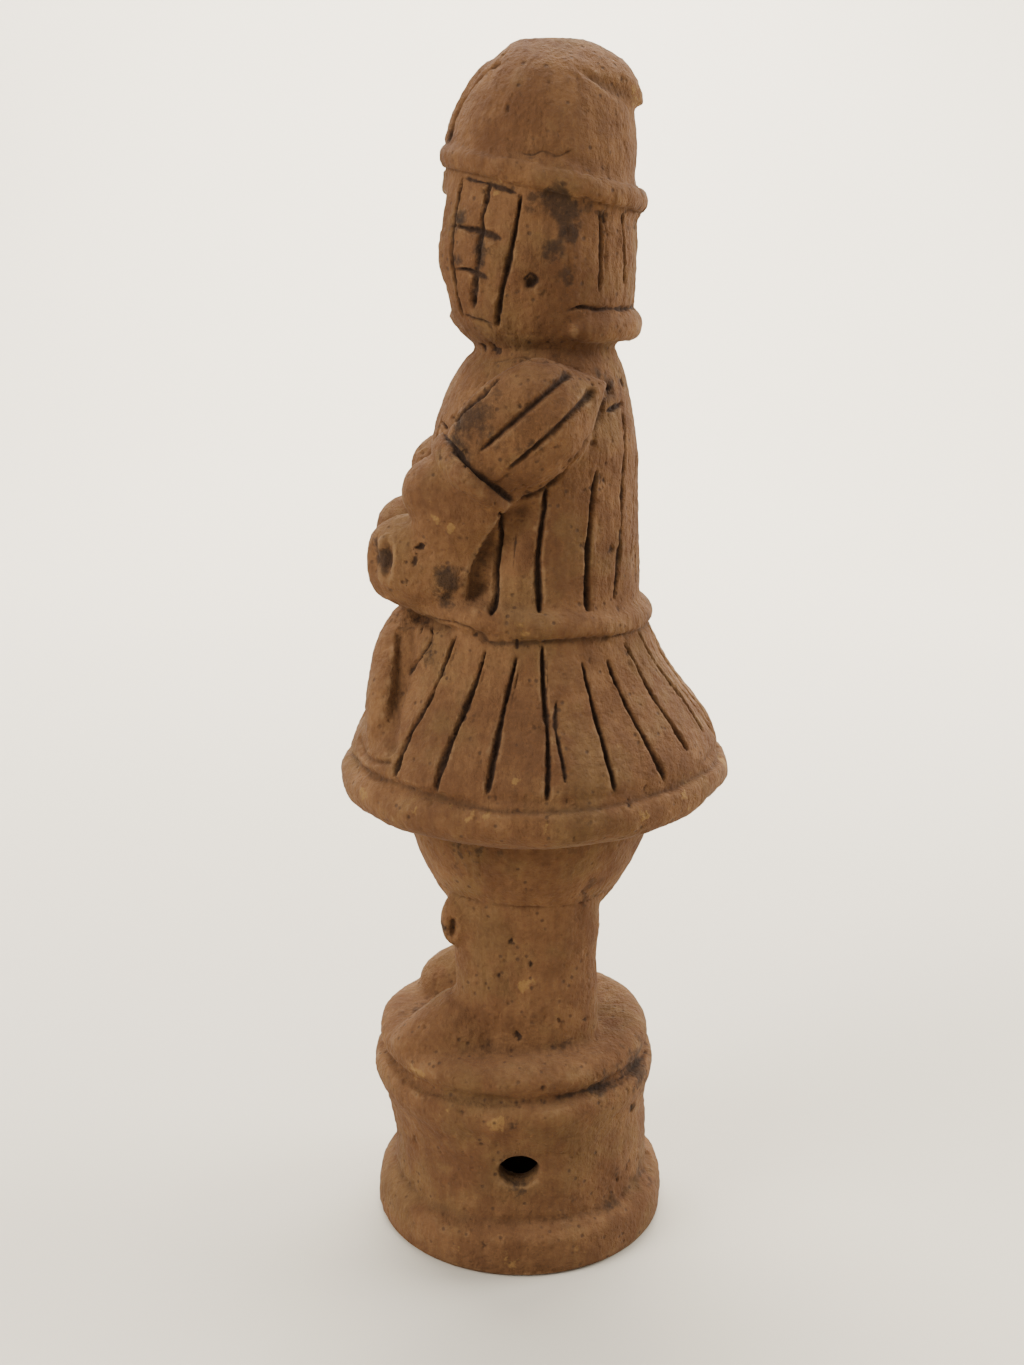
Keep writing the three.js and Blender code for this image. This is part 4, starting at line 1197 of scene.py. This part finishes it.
class Finish:
    """A material, with one method that adds any node to it."""

    def __init__(self, name):
        self.material = bpy.data.materials.new(name)
        self.material.use_nodes = True
        self.tree = self.material.node_tree
        self.tree.nodes.clear()

    def node(self, kind, settings=None, inputs=None):
        """Adds a node, with its settings first and then the values or links of its inputs."""
        made = self.tree.nodes.new(kind)
        for setting, value in (settings or {}).items():
            setattr(made, setting, value)
        for key, value in (inputs or {}).items():
            if isinstance(value, Wire):
                self.tree.links.new(value.socket, made.inputs[key])
            else:
                made.inputs[key].default_value = value
        return {socket.name: Wire(self, socket) for socket in made.outputs if socket.enabled}

    def colour_mix(self, share, first, second):
        """Mixes two colours by a share."""
        inputs = {"Factor": share, 6: first, 7: second}
        return self.node("ShaderNodeMix", {"data_type": "RGBA"}, inputs)["Result"]

    def ranged(self, value, low, high, to_low=0.0, to_high=1.0):
        """Maps a value from one range to another and clamps it there."""
        inputs = {"Value": value, "From Min": low, "From Max": high, "To Min": to_low, "To Max": to_high}
        return self.node("ShaderNodeMapRange", {"interpolation_type": "SMOOTHSTEP"}, inputs)["Result"]

    def measured(self, name):
        """A value that is stored on the mesh."""
        return self.node("ShaderNodeAttribute", {"attribute_name": name})["Fac"]

print("shader sums ready")

# %% [markdown]
# ## Fired clay
# Terracotta isn't one brown. It has pale and dark patches from the kiln, fine mottling,
# grit, soot stains, painted shade in the lines, the recesses and some other places, and
# pale dry scuffs where it was rubbed.
# All patterns read Object coordinates, so they stay on the clay from every side.

# %% Terracotta
terracotta = Finish("terracotta")
place = terracotta.node("ShaderNodeTexCoord")["Object"]

def clay_noise(scale, detail, roughness=0.55, stretch=(1, 1, 1), offset=0.0):
    """Noise over the clay, with lumps of about a scale-th of a metre."""
    moved = terracotta.node(
        "ShaderNodeMapping", {}, {"Vector": place, "Location": (offset, offset, offset), "Scale": stretch}
    )["Vector"]
    inputs = {"Vector": moved, "Scale": scale, "Detail": detail, "Roughness": roughness}
    return terracotta.node("ShaderNodeTexNoise", {}, inputs)["Fac"]

patches = clay_noise(38, 3, offset=3)
olive_patches = clay_noise(62, 3, 0.6, offset=13)
mottle = clay_noise(170, 4, 0.6, offset=7)
blotch = clay_noise(380, 3, 0.6, offset=11)
fine = clay_noise(900, 3, 0.65, offset=1)
streaks = clay_noise(620, 3, 0.6, stretch=(1, 1, 0.12), offset=5)
grit = terracotta.node("ShaderNodeTexVoronoi", {"feature": "F1"}, {"Vector": place, "Scale": 520})["Distance"]

soot_and_shade_value = terracotta.measured("soot_and_shade")
mottle_swing = mottle - 0.5
blotch_swing = blotch - 0.5
fine_swing = fine - 0.5

tone = terracotta.ranged(patches * 0.5 + mottle * 0.5, 0.36, 0.64)
olive = terracotta.ranged(olive_patches * 0.7 + mottle * 0.3, 0.48, 0.62)
fine_tone = terracotta.ranged(fine * 0.5 + streaks * 0.5, 0.36, 0.66)
rubbed = terracotta.ranged(terracotta.measured("edge") + mottle_swing * 1.4 + fine_swing * 0.5, 0.35, 1.25)
# Painted shade in the recesses.
recess_shade = terracotta.ranged(terracotta.measured("hollow") + (patches - 0.5) * 0.9, 0.2, 1.0)
scraped = terracotta.ranged(terracotta.measured("scuff") + blotch_swing * 2.4 + fine_swing * 1.2, 0.6, 1.05)
speckled = terracotta.ranged(blotch, 0.54, 0.64) * terracotta.ranged(soot_and_shade_value, 0.05, 0.6)
stain_and_shade = terracotta.ranged(soot_and_shade_value + mottle_swing * 1.3 + fine_swing * 0.7, 0.42, 1.05)
in_lines = terracotta.ranged(terracotta.measured("groove") + mottle_swing * 0.5, 0.12, 0.9)
grains = terracotta.ranged(grit, 0.1, 0.28, 1.0, 0.0) * terracotta.ranged(mottle, 0.46, 0.58)

body_colour = terracotta.colour_mix(tone, (0.094, 0.040, 0.0145, 1), (0.16, 0.077, 0.030, 1))
colour_layers = [
    (olive * 0.42, (0.114, 0.068, 0.024, 1)),
    (fine_tone * 0.4, (0.058, 0.024, 0.0095, 1)),
    (rubbed * 0.6, (0.205, 0.114, 0.049, 1)),
    # Shade painted into what lies deeper than its surroundings.
    (recess_shade * 0.5, (0.045, 0.0185, 0.0072, 1)),
    (scraped * 0.72, (0.215, 0.117, 0.038, 1)),
    (speckled * 0.6, (0.026, 0.0135, 0.0068, 1)),
    # Soot stains, and the shade painted with them in the recesses.
    (stain_and_shade * 0.78, (0.019, 0.0105, 0.006, 1)),
    # Painted shade and soot in the carved lines and the pits.
    (in_lines * 0.85, (0.017, 0.0085, 0.0045, 1)),
    (grains * 0.65, (0.035, 0.0175, 0.0095, 1)),
]
for share, layer_colour in colour_layers:
    body_colour = terracotta.colour_mix(share, body_colour, layer_colour)

# %% [markdown]
# Dry clay is matt all over, and only where fingers rubbed it does it shine a little. The
# finest roughness of the surface is too small for the mesh, so it is a bump: grain, the
# drag of the stick and tiny open pores.

# %% Roughness, bump and shader
roughness = 0.93 - 0.12 * rubbed
pores = terracotta.ranged(grit, 0.02, 0.3) * 0.5
relief = fine * 0.8 + streaks * 0.5 + pores * 0.6 + clay_noise(420, 4, 0.7, offset=9) * 1.1
bump_inputs = {"Height": relief, "Strength": 0.8, "Distance": 0.0007}
bump = terracotta.node("ShaderNodeBump", {}, bump_inputs)["Normal"]
shader = terracotta.node(
    "ShaderNodeBsdfPrincipled",
    {},
    {"Base Color": body_colour, "Roughness": roughness, "Normal": bump, "Specular IOR Level": 0.25},
)["BSDF"]
terracotta.node("ShaderNodeOutputMaterial", {}, {"Surface": shader})
clay.data.materials.clear()
clay.data.materials.append(terracotta.material)
print("nodes in the clay", len(terracotta.tree.nodes))

# %% [markdown]
# ## Floor and light
# The figure stands on plain pale paper that curves up behind it, so there is no horizon.
# The light is soft and comes from all round, as beside a window in a white room: a pale
# sky, a large lamp before the figure, a second one behind its back, and a third that
# brightens the paper.

# %% Paper and lamps
bpy.ops.object.select_all(action="DESELECT")
bpy.ops.mesh.primitive_plane_add(size=4, location=(0.6, 0, 0))
paper = bpy.context.object
bpy.ops.object.transform_apply(location=True, rotation=True, scale=True)

def select_back_edge():
    """Selects the edge of the paper that lies on the ground at its back."""
    bpy.ops.object.mode_set(mode="EDIT")
    bpy.ops.mesh.select_all(action="DESELECT")
    bpy.ops.object.mode_set(mode="OBJECT")
    for paper_edge in paper.data.edges:
        ends = [paper.data.vertices[i].co for i in paper_edge.vertices]
        paper_edge.select = all(end.x < -1 and end.z < 0.01 for end in ends)
    bpy.ops.object.mode_set(mode="EDIT")

paper_height = 2.4
paper_curve = 0.8
select_back_edge()
bpy.ops.mesh.extrude_region_move(TRANSFORM_OT_translate={"value": (0, 0, paper_height)})
select_back_edge()
bpy.ops.mesh.bevel(offset=paper_curve, segments=24, affect="EDGES")
bpy.ops.object.mode_set(mode="OBJECT")
bpy.ops.object.shade_smooth()
paper.name = "paper"

white_paper = Finish("white_paper")
paper_place = white_paper.node("ShaderNodeTexCoord")["Object"]
cloudy = white_paper.node("ShaderNodeTexNoise", {}, {"Vector": paper_place, "Scale": 3, "Detail": 2})["Fac"]
paper_colour = white_paper.colour_mix(cloudy, (0.53, 0.48, 0.385, 1), (0.58, 0.53, 0.44, 1))
paper_inputs = {"Base Color": paper_colour, "Roughness": 0.9}
paper_shader = white_paper.node("ShaderNodeBsdfPrincipled", {}, paper_inputs)["BSDF"]
white_paper.node("ShaderNodeOutputMaterial", {}, {"Surface": paper_shader})
paper.data.materials.append(white_paper.material)

def lamp(name, place, size, power, colour, towards=(0, 0, 0.12)):
    """A large soft lamp that points at the middle of the figure, or at another place."""
    data = bpy.data.lights.new(name, "AREA")
    data.shape = "DISK"
    data.size = size
    data.energy = power
    data.color = colour
    made = bpy.data.objects.new(name, data)
    made.location = place
    made.rotation_euler = (Vector(towards) - Vector(place)).to_track_quat("-Z", "Y").to_euler()
    bpy.context.scene.collection.objects.link(made)

lamp("front_lamp", (0.62, -1, 0.9), 0.8, 23, (1, 0.97, 0.93))
lamp("back_lamp", (-0.25, 1.15, 0.75), 0.8, 25, (1, 0.98, 0.95))
lamp("wall_lamp", (-0.7, 0, 1.1), 1.2, 78, (1, 0.985, 0.965), towards=(-1.35, 0, 0.2))
world = bpy.context.scene.world or bpy.data.worlds.new("room")
bpy.context.scene.world = world
world.use_nodes = True
world.node_tree.nodes["Background"].inputs["Color"].default_value = (0.97, 0.985, 1, 1)
world.node_tree.nodes["Background"].inputs["Strength"].default_value = 0.76
print("lamps", len(bpy.data.lights))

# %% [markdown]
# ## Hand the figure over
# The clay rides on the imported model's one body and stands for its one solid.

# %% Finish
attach(clay, "root")
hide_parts("warrior_figure")
